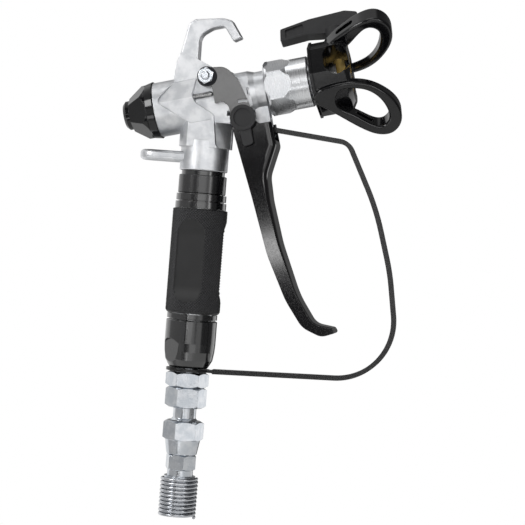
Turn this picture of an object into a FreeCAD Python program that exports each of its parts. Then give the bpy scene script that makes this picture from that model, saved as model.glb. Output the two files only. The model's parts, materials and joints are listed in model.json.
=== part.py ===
import FreeCAD, Part
import math
import os

V = FreeCAD.Vector

# Hand-held airless spray gun, in millimetres.
# Drawing frame: X runs forward along the barrel axis, Z is up, Y points away from the near side,
# and the barrel axis meets the handle axis at the zero point. The finished pieces are moved so that
# the origin is the seat of the hanging hook.

# General fits and gaps
RUNNING_GAP = 0.05          # radial, between a shaft and the hole it turns or slides in
SEAT_GAP = 0.05             # radial, between pieces that screw or press together
FREE_GAP = 0.3              # between pieces that pass each other without touching
SEAL_BITE = 0.02            # how far a seal ring stands clear of the wall it would press on

# Barrel line: the die-cast body
REAR_TUBE_RADIUS = 16.4
REAR_TUBE_END = -31.2
RIDGE_ANGLE = 7.0           # degrees above level of the ridge between the two flats on each side
UPPER_FLAT_SWEEP = 43.0     # degrees of tube that each flat takes off
LOWER_FLAT_SWEEP = 45.0
CAVITY_RADIUS = 13.6        # room for the needle carrier and its spring
CAVITY_FRONT = -12.0
CAP_THREAD_RADIUS = 14.6
CAP_THREAD_LENGTH = 6.7
NECK_RADIUS = 13.0
NECK_NOSE_RADIUS = 11.6
NECK_SHOULDER = 27.5
NECK_FRONT = 36.2
WEB_HALF_WIDTH = 9.3        # the narrowed middle that the trigger straddles
HOUSING_THREAD_RADIUS = 9.4
HOUSING_THREAD_START = 25.0
FLUID_BORE_RADIUS = 4.0
FLUID_BORE_START = -4.0
PACKING_BORE_RADIUS = 5.5

# Handle line, measured down the handle from the barrel axis
HANDLE_RAKE = 14.3          # degrees that the handle leans back
UPPER_NECK_RADIUS = 16.2
UPPER_NECK_END = 28.7
PANEL_HALF_WIDTH = 13.6
SOCKET_WALL = 2.4           # outside the tube's radius
SOCKET_END = 42.6
SOCKET_THREAD_RADIUS = 10.0
SOCKET_THREAD_START = 21.5
SCOOP_TOP_FORWARD = 5.8     # where the side scoops for the trigger begin, forward of the handle axis
SCOOP_FOOT_FORWARD = 8.6
NOSE_FORWARD = 15.6         # flat front of the narrowed neck
NOSE_TOP = 9.0
SCOOP_CORNER_RADIUS = 3.0
NECK_BACK = 14.7            # flat back of the upper neck, behind the handle axis
SLANT_TOP = 13.5            # where the scoops' slanted floors begin, down the handle
SLANT_BACK = 6.6            # their rear edges, forward of the handle axis
NOSE_HALF_WIDTH = 2.2       # what they leave of the nose's flat front
TANG_TOP = 31.8
TANG_THICKNESS = 6.2
TANG_REACH = 39.2
TANG_HALF_WIDTH = 9.5
TANG_EDGE_RADIUS = 2.4

# Hanging hook and pivot web
HOOK_SEAT_X = 11.1
HOOK_SEAT_Z = 41.6
HOOK_HALF_WIDTH = 4.5
HOOK_EDGE_RADIUS = 1.0

# Trigger pivot
PIVOT_X = 3.4
PIVOT_Z = 12.8
PIVOT_BOLT_RADIUS = 2.5
PIVOT_EAR_RADIUS = 6.1
PIVOT_WASHER_RADIUS = 5.9
PIVOT_WASHER_THICKNESS = 1.0
PIVOT_NUT_FLATS = 8.8
PIVOT_NUT_HEIGHT = 5.0
PIVOT_BOLT_OVERRUN = 1.6

# Trigger
TRIGGER_WALL = 3.0
TRIGGER_WEB = 3.4
WEB_TOP = -31.6             # where the curved front web begins, below the guard bar
ARM_REAR_X = 5.2
TRIGGER_FOOT_HALF_WIDTH = 10.2
TRIGGER_HEAD_Z = 40.0         # the plates are full width from here ...
TRIGGER_TAPER_Z = -40.0       # ... to here, and narrow evenly ...
TRIGGER_FOOT_Z = -152.0       # ... to the foot
TRIGGER_TIP_ROOM = 8.0
TRIGGER_REAR_X = -30.0
TRIGGER_SPAN = 120.0
TRIGGER_EDGE_RADIUS = 4.0
TRIGGER_TIP_RADIUS = 1.2
TRIGGER_SIDE_GAP = 0.3
TRIGGER_SWING = 13.0        # degrees of pull

# Trigger lock
LOCK_X = 20.9
LOCK_Z = -15.6
LOCK_KNOB_RADIUS = 7.6
LOCK_KNOB_THICKNESS = 3.6
LOCK_HUB_RADIUS = 6.0
LOCK_DISH_RADIUS = 5.4
LOCK_DISH_DEPTH = 0.9
LOCK_SPINDLE_RADIUS = 2.5
LOCK_TAIL_LENGTH = 17.2
LOCK_TAIL_WIDTH = 6.0
LOCK_SLOT_RADIUS = 10.4
LOCK_SLOT_WIDTH = 1.8
LOCK_SLOT_SWEEP = 34.0

# Needle train
ROD_Z = 2.4                 # height of the push pins over the barrel axis
ROD_RADIUS = 1.5
ROD_SIDE = 11.1
ROD_FRONT = 4.9
CARRIER_RADIUS = 13.3
CARRIER_BACK = -17.0
CARRIER_FRONT = -13.0
NEEDLE_RADIUS = 1.75
NEEDLE_BACK = -22.0
NEEDLE_NUT_FLATS = 7.0
NEEDLE_NUT_HEIGHT = 3.2
BALL_RADIUS = 2.5
SEAT_HOLE_RADIUS = 1.6
SPRING_WIRE = 1.6
SPRING_COIL_RADIUS = 7.6
SPRING_TURNS = 6
SPRING_END_GAP = 0.1
PACKING_LENGTH = 4.0

# Rear cap
CAP_BAND_RADIUS = 17.2      # at its front edge
CAP_BAND_BACK_RADIUS = 16.3
CAP_BAND_FRONT_GAP = 0.1
CAP_BAND_LENGTH = 5.2
CAP_FLARE_LENGTH = 11.4
CAP_KNOB_RADIUS = 8.7
CAP_KNOB_END = -51.8
CAP_HEX_BASE = 31.6
CAP_HEX_NECK = 17.4
CAP_POCKET_RADIUS = 8.8
CAP_POCKET_END = -45.0

# Front housing, seat and diffuser
HOUSING_RADIUS = 16.4
HOUSING_NOSE_RADIUS = 15.1
HOUSING_STEP = 47.0
HOUSING_FRONT = 62.8
HOUSING_FLATS = 28.6
HOUSING_FLAT_COUNT = 6
HOUSING_FLAT_START = 38.6
HOUSING_FLAT_END = 52.6
HOUSING_FLAT_ROLL = -30.0
GUARD_THREAD_RADIUS = 11.1
GUARD_THREAD_END = 71.0
DIFFUSER_RADIUS = 8.0
DIFFUSER_BACK = 43.0
DIFFUSER_FRONT = 68.0
DIFFUSER_BORE_RADIUS = 2.5
GASKET_LENGTH = 1.0
SEAT_RADIUS = 5.0
SEAT_BACK = 46.0
SEAT_LENGTH = 3.0

# Tip guard
GUARD_FLATS = 41.0
GUARD_BACK = 64.8
GUARD_FRONT = 87.4
GUARD_RIM = 1.6
GUARD_RIM_FLATS = 42.6
GUARD_ROLL = 26.0           # degrees that the tip axis leans away from upright
GUARD_FRONT_BEVEL = 3.0
NUT_RADIUS = 16.8
NUT_FLANGE_RADIUS = 18.0
NUT_BACK = 63.8
NUT_FLANGE_START = 69.6
NUT_FRONT = 72.0
WINDOW_RADIUS = 5.6
WINDOW_X = 81.0
WINDOW_TOP = 2.5            # highest and lowest centre along the tip axis
WINDOW_FOOT = -3.0
WINDOW_FLARE = 2.0          # how much wider it is at the block's face
SPRAY_HOLE_RADIUS = 4.0
LOOP_LEAN = 40.0            # degrees that each loop's plane leans from upright
UPPER_LOOP_LEAN = 46.0
UPPER_LOOP_SPREAD = 5.0     # how much further back the upper loop's long strand meets the block
LOOP_ROOT_Y = 18.6
UPPER_LOOP_ROOT_Y = 13.8    # nearer the middle, so that this loop passes beside the tip's handle
LOOP_ROOT_Z = 7.4
UPPER_LOOP_ROOT_Z = 4.9
LOOP_STAGGER = 2.6          # how much further forward the upper loop sits
LOOP_NARROW = 2.8           # half width of a loop at its inner strand
LOOP_WIDE = 6.2             # half width of a loop at its outer strand
LOOP_HEAD = -6.0            # where those two widths are measured, down the loop's plane
LOOP_FOOT = 40.0
LOOP_EDGE_RADIUS = 1.6
LOOP_SLOT_LENGTH = 9.0
LOOP_SLOT_WIDTH = 3.6

# Reversing tip
TIP_X = 81.2
TIP_RADIUS = 6.0
TIP_FOOT = -13.5
TIP_HEAD = 24.0
CARBIDE_RADIUS = 2.0
CARBIDE_HALF_LENGTH = 3.0
ORIFICE_RADIUS = 0.35
TIP_BORE_RADIUS = 1.3
SADDLE_LENGTH = 6.0
FLAG_HALF_THICKNESS = 3.4
FLAG_HUB_RADIUS = 6.9
FLAG_FOOT = 29.9
FLAG_TAIL_X = 47.4
FLAG_NOSE_X = 95.6
FLAG_RECESS_DEPTH = 0.9

# Trigger guard
BAR_THICKNESS = 2.8
BAR_HALF_WIDTH = 3.0
BAR_EDGE_RADIUS = 1.0
EYE_RADIUS = 13.2
EYE_THICKNESS = 1.5
EYE_CENTRE = 162.1
BAR_START_X = 31.5          # centre of the front screw, on the bar's centre line
BAR_START_Z = -22.9
BAR_FALL = 20.2             # degrees that the bar's upper run falls toward the front
BAR_BEND_X = 78.6
FRONT_EYE_RADIUS = 4.6
GUARD_SCREW_RADIUS = 2.0
GUARD_SCREW_HEAD_RADIUS = 3.6
GUARD_SCREW_HEAD_HEIGHT = 2.0
GUARD_SCREW_REACH = 5.4
LUG_HALF_WIDTH = 5.6

# Handle pieces; their walls are measured outward from the tube
TUBE_RADIUS = 12.0
TUBE_BORE_RADIUS = 8.6
TUBE_SPIGOT_START = 25.0
TUBE_END = 146.0
COLLAR_START = 42.8
COLLAR_WALL = 0.95
RATING_START = 45.3
RATING_END = 56.3
RATING_WALL = 1.35          # over the collar's neck
COLLAR_RING_WALL = 3.0
COLLAR_RING_END = 60.6
COLLAR_FOOT_START = 61.3
COLLAR_FOOT_WALL = 3.3
GRIP_START = 65.4
GRIP_END = 128.1
GRIP_WALL = 4.0
GRIP_END_BEVEL = 0.8
PALM_FLAT_DEPTH = 2.7
PALM_FLAT_LENGTH = 29.0
PALM_RUNOUT = 10.5
PALM_ROLL = 98.0            # degrees from the front round to the near inset's middle
PALM_COUNT = 3
LOWER_RING_START = 128.5
LOWER_RING_END = 131.4
LOWER_RING_WALL = 3.1
LOWER_GROOVE_WALL = 1.8
BELL_START = 132.2
BELL_TAPER = 146.0
BELL_END = 160.8
BELL_WALL = 3.3
BELL_FOOT_WALL = 5.05         # outside the inlet thread
BELL_FLATS = 26.5
BELL_FLAT_START = 143.4       # crown of the flat's arched top
BELL_FLAT_ARCH = 11.3         # radius of that arch
BELL_FLAT_END = 157.5

# Filter in the handle
SCREEN_RADIUS = 7.0
SCREEN_WALL = 0.5
CORE_RADIUS = 5.6
CORE_BORE_RADIUS = 4.2
CORE_START = 50.0
CORE_END = 118.0
FILTER_CAP_LENGTH = 4.0
FILTER_SPRING_WIRE = 1.2
FILTER_SPRING_COIL_RADIUS = 6.0
FILTER_SPRING_TURNS = 6
FILTER_SPRING_PITCH = 3.2

# Swivel and hose end
STEM_THREAD_RADIUS = 6.9
STEM_START = 148.0
STEM_BORE_RADIUS = 3.2
JAM_NUT_START = 163.4
JAM_NUT_LENGTH = 9.2
JAM_NUT_FLATS = 22.5
STEM_HEX_LENGTH = 12.2
STEM_HEX_FLATS = 21.6
STEM_NECK_END = 191.2
STEM_FLARE_RADIUS = 8.2
STEM_FLARE_LENGTH = 1.4
STEM_TAIL_RADIUS = 5.0
STEM_TAIL_OVERRUN = 3.3     # past the retaining ring's start
SWIVEL_HEX_FLATS = 21.4
SWIVEL_HEX_LENGTH = 11.8
SWIVEL_CONE_LENGTH = 8.4
SWIVEL_CONE_TOP = 10.7
SWIVEL_CONE_FOOT = 9.15
SWIVEL_BEARING_LENGTH = 12.3
SWIVEL_CAVITY_RADIUS = 7.6
RETAINER_STEP = 0.7
RETAINER_THICKNESS = 1.4
RETAINER_RADIUS = 7.1
RETAINER_GROOVE_RADIUS = 4.3
SEAL_WIRE_RADIUS = 0.9
HOSE_HEX_FLATS = 16.4
HOSE_HEX_LENGTH = 9.4
HOSE_SPIGOT_RADIUS = 6.0
HOSE_SPIGOT_LENGTH = 4.2
HOSE_NECK_RADIUS = 7.8
HOSE_NECK_LENGTH = 3.6
TAIL_RADIUS = 4.0
TAIL_LENGTH = 20.0
TAIL_ROOT_RADIUS = 4.9      # shoulder that the ferrule's lip sits on
TAIL_ROOT_LENGTH = 1.5
FERRULE_LIP = 1.2
TAIL_BORE_RADIUS = 2.6
FERRULE_RADIUS = 9.4
FERRULE_WALL = 0.9
GUARD_WIRE = 1.85
GUARD_PITCH = 2.35
GUARD_COIL_RADIUS = 10.45
GUARD_TURNS = 10

# Hexagon turns, in degrees about their own axis
JAM_NUT_ROLL = 12.0
STEM_HEX_ROLL = 16.0
SWIVEL_HEX_ROLL = 18.0
HOSE_HEX_ROLL = -8.0

# Faces that follow from the sizes above
SOCKET_RADIUS = TUBE_RADIUS + SOCKET_WALL
COLLAR_NECK_RADIUS = TUBE_RADIUS + COLLAR_WALL
RATING_RADIUS = COLLAR_NECK_RADIUS + RATING_WALL
COLLAR_RING_RADIUS = TUBE_RADIUS + COLLAR_RING_WALL
COLLAR_FOOT_RADIUS = TUBE_RADIUS + COLLAR_FOOT_WALL
GRIP_RADIUS = TUBE_RADIUS + GRIP_WALL
LOWER_RING_RADIUS = TUBE_RADIUS + LOWER_RING_WALL
LOWER_GROOVE_RADIUS = TUBE_RADIUS + LOWER_GROOVE_WALL
BELL_RADIUS = TUBE_RADIUS + BELL_WALL
BELL_FOOT_RADIUS = STEM_THREAD_RADIUS + SEAT_GAP + BELL_FOOT_WALL
SWIVEL_CAVITY_START = STEM_NECK_END + SWIVEL_BEARING_LENGTH
RETAINER_START = SWIVEL_CAVITY_START + RETAINER_STEP
STEM_TAIL_END = RETAINER_START + STEM_TAIL_OVERRUN
LEAN = math.radians(HANDLE_RAKE)
PLATE_INNER = WEB_HALF_WIDTH + TRIGGER_SIDE_GAP
PLATE_OUTER = PLATE_INNER + TRIGGER_WALL
LOCK_KNOB_FACE = PANEL_HALF_WIDTH + FREE_GAP
CAP_FACE = REAR_TUBE_END - CAP_BAND_FRONT_GAP
STEM_HEX_START = JAM_NUT_START + JAM_NUT_LENGTH + SEAT_GAP
STEM_HEX_END = STEM_HEX_START + STEM_HEX_LENGTH
SWIVEL_START = STEM_NECK_END + STEM_FLARE_LENGTH + FREE_GAP
SWIVEL_HEX_END = SWIVEL_START + SWIVEL_HEX_LENGTH
SWIVEL_END = SWIVEL_HEX_END + SWIVEL_CONE_LENGTH
HOSE_HEX_START = SWIVEL_END + SEAT_GAP
HOSE_HEX_END = HOSE_HEX_START + HOSE_HEX_LENGTH
HOSE_NECK_END = HOSE_HEX_END + HOSE_NECK_LENGTH
TAIL_END = HOSE_NECK_END + TAIL_LENGTH
BALL_CENTRE = SEAT_BACK - RUNNING_GAP - math.sqrt(BALL_RADIUS ** 2 - SEAT_HOLE_RADIUS ** 2)
BAR_SLOPE = math.radians(-BAR_FALL)


# Drawing helpers

def turned(profile):
    """Solid of revolution about X through (x, radius) corners."""
    points = [V(x, 0, radius) for x, radius in profile]
    face = Part.Face(Part.makePolygon(points + [points[0]]))
    return face.revolve(V(0, 0, 0), V(1, 0, 0), 360)


def ring(start, end, outer, inner):
    """Plain tube about X."""
    return turned([(start, inner), (end, inner), (end, outer), (start, outer)])


def rod(start, end, radius):
    """Plain bar about X."""
    return Part.makeCylinder(radius, end - start, V(start, 0, 0), V(1, 0, 0))


def bevelled_rod(start, end, radius, bevel):
    """Bar about X with both ends bevelled."""
    return turned([(start, 0), (end, 0), (end, radius - bevel), (end - bevel, radius),
                   (start + bevel, radius), (start, radius - bevel)])


def polygon_bar(sides, across_flats, start, end, roll=0.0):
    """Regular prism about X; roll turns one corner away from +Z."""
    corner_radius = across_flats / 2 / math.cos(math.pi / sides)
    points = []
    for index in range(sides + 1):
        angle = math.radians(roll) + 2 * math.pi * index / sides
        points.append(V(start, corner_radius * math.sin(angle), corner_radius * math.cos(angle)))
    return Part.Face(Part.makePolygon(points)).extrude(V(end - start, 0, 0))


def hexagon(across_flats, start, end, roll, bevel_ends=(True, True)):
    """Hexagon stock with its corners turned off at 30 degrees where an end is bevelled."""
    corner_radius = across_flats / math.sqrt(3)
    flat_radius = across_flats / 2
    bevel = (corner_radius - flat_radius) * math.tan(math.radians(30)) * 1.4
    turned_end = flat_radius - 0.4 * (corner_radius - flat_radius)
    left = turned_end if bevel_ends[0] else corner_radius
    right = turned_end if bevel_ends[1] else corner_radius
    stock = polygon_bar(6, across_flats, start, end, roll)
    envelope = turned([(start, 0), (end, 0), (end, right), (end - bevel, corner_radius),
                       (start + bevel, corner_radius), (start, left)])
    return stock.common(envelope)


def rounded_edges(corners, closed=True):
    """Lines and tangent arcs round (x, z, radius) corners in the XZ plane."""
    count = len(corners)
    entries, exits, middles = [], [], []
    for index in range(count):
        x, z, radius = corners[index]
        here = V(x, 0, z)
        if radius == 0 or (not closed and index in (0, count - 1)):
            entries.append(here)
            exits.append(here)
            middles.append(None)
            continue
        before = corners[index - 1]
        after = corners[(index + 1) % count]
        to_before = (V(before[0], 0, before[1]) - here).normalize()
        to_after = (V(after[0], 0, after[1]) - here).normalize()
        half = to_before.getAngle(to_after) / 2
        entries.append(here + to_before * (radius / math.tan(half)))
        exits.append(here + to_after * (radius / math.tan(half)))
        bisector = (to_before + to_after).normalize()
        middles.append(here + bisector * (radius / math.sin(half) - radius))
    edges = []
    for index in range(count):
        if middles[index] is not None:
            edges.append(Part.Arc(entries[index], middles[index], exits[index]).toShape())
        if index == count - 1 and not closed:
            break
        target = entries[(index + 1) % count]
        if exits[index].distanceToPoint(target) > 0.001:
            edges.append(Part.LineSegment(exits[index], target).toShape())
    return edges


def plate(corners, inner, outer):
    """Plate between two Y values, with a rounded XZ outline."""
    face = Part.Face(Part.Wire(rounded_edges(corners)))
    face.translate(V(0, inner, 0))
    return face.extrude(V(0, outer - inner, 0))


def centred_plate(corners, half_width):
    """Plate centred on the XZ plane."""
    return plate(corners, -half_width, half_width)


def both_sides(shape):
    """A piece and its mirror image across the XZ plane."""
    return [shape, shape.mirror(V(0, 0, 0), V(0, 1, 0))]


def cross_bar(x, z, radius, start, end):
    """Round bar along Y between two Y values."""
    return Part.makeCylinder(radius, end - start, V(x, start, z), V(0, 1, 0))


def down_handle(shape):
    """Lay a piece drawn about X along the handle axis instead; its +Z side turns to the front."""
    turned_down = shape.copy()
    turned_down.rotate(V(0, 0, 0), V(0, 1, 0), 90 + HANDLE_RAKE)
    return turned_down


def handle_point(along, forward):
    """XZ place of a point along the handle axis and forward of it."""
    x = -along * math.sin(LEAN) + forward * math.cos(LEAN)
    z = -along * math.cos(LEAN) - forward * math.sin(LEAN)
    return x, z


def biarc(start, start_way, end, end_way):
    """Two tangent arcs between points with given directions."""
    chord = end - start
    ways = start_way + end_way
    spread = 2 * (1 - start_way.dot(end_way))
    along = chord.dot(ways)
    reach = (math.sqrt(along ** 2 + spread * chord.dot(chord)) - along) / spread
    near = start + start_way * reach
    far = end - end_way * reach
    joint = (near + far) * 0.5
    arcs = []
    for first, corner, last in ((start, near, joint), (joint, far, end)):
        middle = (first + last) * 0.5
        share = (middle - first).Length / reach
        top = middle + (corner - middle) * (share / (1 + share))
        arcs.append(Part.Arc(first, top, last).toShape())
    return arcs


def coil(start, radius, pitch, turns, wire, label):
    """Spring wire wound about X, made of quarter-turn biarcs; prints its least gap to itself."""
    steps = 4
    rise = pitch / (2 * math.pi)
    length = math.hypot(radius, rise)

    def place(angle):
        return V(start + rise * angle, radius * math.sin(angle), radius * math.cos(angle))

    def way(angle):
        return V(rise / length, radius * math.cos(angle) / length, -radius * math.sin(angle) / length)

    edges = []
    for step in range(steps * turns):
        first = 2 * math.pi * step / steps
        last = 2 * math.pi * (step + 1) / steps
        edges += biarc(place(first), way(first), place(last), way(last))
    spine = Part.Wire(edges)
    profile = Part.Wire(Part.Circle(place(0), way(0), wire / 2).toShape())
    points = [point for edge in edges for point in edge.discretize(9)[:-1]]
    per_turn = len(points) // turns
    gaps = [points[index].distanceToPoint(points[other])
            for index in range(len(points))
            for other in range(index + per_turn // 2, min(len(points), index + 2 * per_turn))]
    print(label, "least gap to itself", round(min(gaps) - wire, 3))
    return spine.makePipeShell([profile], True, False)


def seal_ring(centre, middle_radius, wire_radius):
    """Rubber ring about X."""
    return Part.makeTorus(middle_radius, wire_radius, V(centre, 0, 0), V(1, 0, 0))


# Die-cast body

def hook_outline():
    """Hanging hook over the pivot web, from its root round the tip and back."""
    crown = HOOK_SEAT_Z + 7.6
    return [(-15.5, 19.0, 0), (-11.2, 31.3, 0), (-3.4, 47.4, 4.0), (1.0, crown, 3.0),
            (17.6, crown - 2.6, 5.0), (22.6, 44.1, 2.0), (26.6, 32.9, 0.8), (21.2, 31.7, 0.8),
            (18.9, 37.9, 2.0), (17.4, HOOK_SEAT_Z, 2.4), (9.8, HOOK_SEAT_Z, 7.0), (3.2, 39.3, 6.0),
            (1.2, 35.9, 3.0), (-1.4, 25.3, 0.5), (2.0, 17.0, 0)]


def web_outline():
    """Pivot web under the hook."""
    return [(-17.8, 8.0, 0), (-17.0, 16.6, 2.0), (-13.8, 25.2, 2.0), (-10.2, 30.7, 1.0),
            (-0.8, 24.4, 1.0), (PIVOT_X + 2.6, PIVOT_Z + 6.2, 2.0),
            (PIVOT_X + PIVOT_EAR_RADIUS, PIVOT_Z + 2.0, 5.0), (PIVOT_X + 5.5, 5.0, 0)]


def trigger_room():
    """Side room that the trigger's arms sweep through, as an XZ outline."""
    scoop_top = handle_point(NOSE_TOP, SCOOP_TOP_FORWARD)
    scoop_foot = handle_point(UPPER_NECK_END, SCOOP_FOOT_FORWARD)
    step_front = handle_point(UPPER_NECK_END, SOCKET_RADIUS)
    return [(-2.6, 26.0, 0), (-3.8, 12.4, 3.0), (-7.2, 3.8, 3.5), (-6.0, -1.6, 4.0),
            (-0.2, -6.8, 4.0), (scoop_top[0], scoop_top[1], 3.0),
            (scoop_foot[0], scoop_foot[1], SCOOP_CORNER_RADIUS), (step_front[0], step_front[1], 0),
            (NECK_SHOULDER + 12, step_front[1], 0), (NECK_SHOULDER + 12, -12.5, 0),
            (NECK_SHOULDER, -12.5, 2.0), (NECK_SHOULDER - 2, 26.0, 0)]


def lock_room():
    """Relief under the neck that the lock spindle swings through."""
    reach = math.hypot(LOCK_X - PIVOT_X, LOCK_Z - PIVOT_Z)
    start = math.atan2(LOCK_Z - PIVOT_Z, LOCK_X - PIVOT_X)
    relief = LOCK_SPINDLE_RADIUS + 0.5
    pieces = []
    steps = 5
    for step in range(steps + 1):
        angle = start - math.radians(TRIGGER_SWING) * step / steps
        x = PIVOT_X + reach * math.cos(angle)
        z = PIVOT_Z + reach * math.sin(angle)
        pieces.append(cross_bar(x, z, relief, -UPPER_NECK_RADIUS, UPPER_NECK_RADIUS))
    middle = start - math.radians(TRIGGER_SWING) / 2
    outline = []
    for radius, angle in ((reach + relief, start), (reach + relief, middle),
                          (reach + relief, start - math.radians(TRIGGER_SWING)),
                          (reach - relief, start - math.radians(TRIGGER_SWING)),
                          (reach - relief, middle), (reach - relief, start)):
        outline.append((PIVOT_X + radius * math.cos(angle), PIVOT_Z + radius * math.sin(angle), 0))
    pieces.append(centred_plate(outline, UPPER_NECK_RADIUS))
    return pieces


def lug_foot(x):
    """Height of the trigger guard bar's top face at x."""
    centre = BAR_START_Z + (x - BAR_START_X) * math.tan(BAR_SLOPE)
    return centre + BAR_THICKNESS / 2 / math.cos(BAR_SLOPE)


def gun_body():
    """The cast body: rear tube, neck, handle socket, tang, pivot web, hook and guard lug."""
    rear = turned([(REAR_TUBE_END, 0), (2.0, 0), (2.0, 12.0), (-2.0, REAR_TUBE_RADIUS),
                   (REAR_TUBE_END, REAR_TUBE_RADIUS)])
    neck = turned([(-8.0, 0), (NECK_FRONT, 0), (NECK_FRONT, NECK_NOSE_RADIUS),
                   (NECK_SHOULDER + 2.5, NECK_NOSE_RADIUS), (NECK_SHOULDER - 1.5, NECK_RADIUS),
                   (-8.0, NECK_RADIUS)])
    upper_neck = rod(0, UPPER_NECK_END, UPPER_NECK_RADIUS)
    upper_neck = down_handle(upper_neck.common(Part.makeBox(UPPER_NECK_END, 60, 60, V(0, -30, -NECK_BACK))))
    slab = Part.makeBox(120, 2 * PANEL_HALF_WIDTH, 120, V(-60, -PANEL_HALF_WIDTH, -60))
    upper_neck = upper_neck.common(slab)
    shoulder = down_handle(rod(-4.0, 6.0, REAR_TUBE_RADIUS - 1.0)).common(rod(-30, 30, REAR_TUBE_RADIUS - 0.6))
    socket = down_handle(turned([(UPPER_NECK_END - 4, 0), (SOCKET_END, 0),
                                 (SOCKET_END, SOCKET_RADIUS - 0.5), (SOCKET_END - 0.5, SOCKET_RADIUS),
                                 (UPPER_NECK_END - 4, SOCKET_RADIUS)]))
    tang = thumb_tang()
    web = centred_plate(web_outline(), WEB_HALF_WIDTH)
    hook = hanging_hook()
    lug = centred_plate([(27.6, -4.0, 0), (35.6, -4.0, 0), (35.2, lug_foot(35.2), 1.0),
                         (27.2, lug_foot(27.2), 1.0)], LUG_HALF_WIDTH)
    nose = down_handle(Part.makeBox(UPPER_NECK_END - NOSE_TOP, 2 * WEB_HALF_WIDTH, NOSE_FORWARD,
                                    V(NOSE_TOP, -WEB_HALF_WIDTH, 0)))
    body = rear.multiFuse([neck, upper_neck, shoulder, socket, tang, web, hook, lug, nose])

    cuts = []
    for piece in (plate(trigger_room(), WEB_HALF_WIDTH, 30.0), upper_flat(), lower_flat(), nose_slant()):
        cuts += both_sides(piece)
    cuts += lock_room()
    cuts.append(rod(REAR_TUBE_END, REAR_TUBE_END + CAP_THREAD_LENGTH, CAP_THREAD_RADIUS))
    cuts.append(rod(REAR_TUBE_END, CAVITY_FRONT, CAVITY_RADIUS))
    cuts.append(rod(CAVITY_FRONT - 1, FLUID_BORE_START, PACKING_BORE_RADIUS))
    cuts.append(rod(FLUID_BORE_START - 1, NECK_FRONT, FLUID_BORE_RADIUS))
    cuts.append(rod(HOUSING_THREAD_START, NECK_FRONT, HOUSING_THREAD_RADIUS + SEAT_GAP))
    cuts.append(down_handle(rod(0, SOCKET_THREAD_START + 1, FLUID_BORE_RADIUS)))
    cuts.append(down_handle(rod(SOCKET_THREAD_START, SOCKET_END, SOCKET_THREAD_RADIUS + SEAT_GAP)))
    cuts.append(cross_bar(PIVOT_X, PIVOT_Z, PIVOT_BOLT_RADIUS + SEAT_GAP, -20, 20))
    for side in (-ROD_SIDE, ROD_SIDE):
        hole = rod(CAVITY_FRONT - 1, 0, ROD_RADIUS + RUNNING_GAP)
        hole.translate(V(0, side, ROD_Z))
        cuts.append(hole)
    cuts.append(guard_screw_bar(GUARD_SCREW_RADIUS + SEAT_GAP, GUARD_SCREW_REACH + 0.5))
    for cut in cuts:
        body = body.cut(cut)
    return body


def chord_cutter(first, last, outline):
    """Cutter for a flat on the rear tube between two angles above level, inside an XZ outline."""
    half = math.radians(last - first) / 2
    block = Part.makeBox(80, 10, 60, V(-60, REAR_TUBE_RADIUS * math.cos(half), -30))
    block.rotate(V(0, 0, 0), V(1, 0, 0), (first + last) / 2)
    return block.common(plate(outline, 4.0, 30.0))


def nose_slant():
    """Cutter that slants one side of the nose, so that the scoop's floor turns to the front."""
    outer = WEB_HALF_WIDTH + 0.1
    corners = [V(SLANT_TOP, outer, SLANT_BACK), V(SLANT_TOP, NOSE_HALF_WIDTH, NOSE_FORWARD + 0.1),
               V(SLANT_TOP, NOSE_HALF_WIDTH, NOSE_FORWARD + 4), V(SLANT_TOP, outer, NOSE_FORWARD + 4)]
    wedge = Part.Face(Part.makePolygon(corners + [corners[0]]))
    return down_handle(wedge.extrude(V(UPPER_NECK_END - SLANT_TOP, 0, 0)))


def upper_flat():
    """Flat above the ridge, with a curved rear end."""
    tip = REAR_TUBE_RADIUS * math.sin(math.radians(RIDGE_ANGLE))
    outline = [(-28.0, tip, 0), (-27.0, 6.0, 8.0), (-22.0, 10.0, 8.0), (-15.0, 15.0, 0), (2.0, 15.0, 0), (2.0, tip, 0)]
    return chord_cutter(RIDGE_ANGLE, RIDGE_ANGLE + UPPER_FLAT_SWEEP, outline)


def lower_flat():
    """Flat below the ridge, with a slanted rear end that runs down to the panel."""
    tip = REAR_TUBE_RADIUS * math.sin(math.radians(RIDGE_ANGLE))
    outline = [(-28.0, tip, 0), (2.0, tip, 0), (2.0, -13.0, 0), (-10.8, -13.0, 0)]
    return chord_cutter(RIDGE_ANGLE - LOWER_FLAT_SWEEP, RIDGE_ANGLE, outline)


def thumb_tang():
    """Rest for the web of the hand, square to the handle."""
    foot = TANG_TOP + TANG_THICKNESS
    blank = Part.makeBox(TANG_THICKNESS, 2 * TANG_HALF_WIDTH, TANG_REACH - TANG_HALF_WIDTH,
                         V(TANG_TOP, -TANG_HALF_WIDTH, -(TANG_REACH - TANG_HALF_WIDTH)))
    tip = Part.makeCylinder(TANG_HALF_WIDTH, TANG_THICKNESS,
                            V(TANG_TOP, 0, -(TANG_REACH - TANG_HALF_WIDTH)), V(1, 0, 0))
    tongue = blank.fuse(tip).removeSplitter()
    rim = [edge for edge in tongue.Edges
           if abs(edge.BoundBox.XMax - edge.BoundBox.XMin) < 0.01
           and edge.BoundBox.ZMin < -0.01 and not on_root(edge)]
    tongue = tongue.makeFillet(TANG_EDGE_RADIUS, rim)
    assert foot < SOCKET_END
    return down_handle(tongue)


def on_root(edge):
    """True for the straight edges of the tang where it enters the body."""
    return edge.BoundBox.ZMax > -0.01 and edge.BoundBox.ZMin > -0.01


def hanging_hook():
    """The hook, with its outer edges eased."""
    hook = centred_plate(hook_outline(), HOOK_HALF_WIDTH)
    rim = [edge for edge in hook.Edges
           if edge.BoundBox.YLength < 0.01 and edge.BoundBox.ZMin > 30.0]
    return hook.makeFillet(HOOK_EDGE_RADIUS, rim)


# Rear cap and needle train

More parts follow.
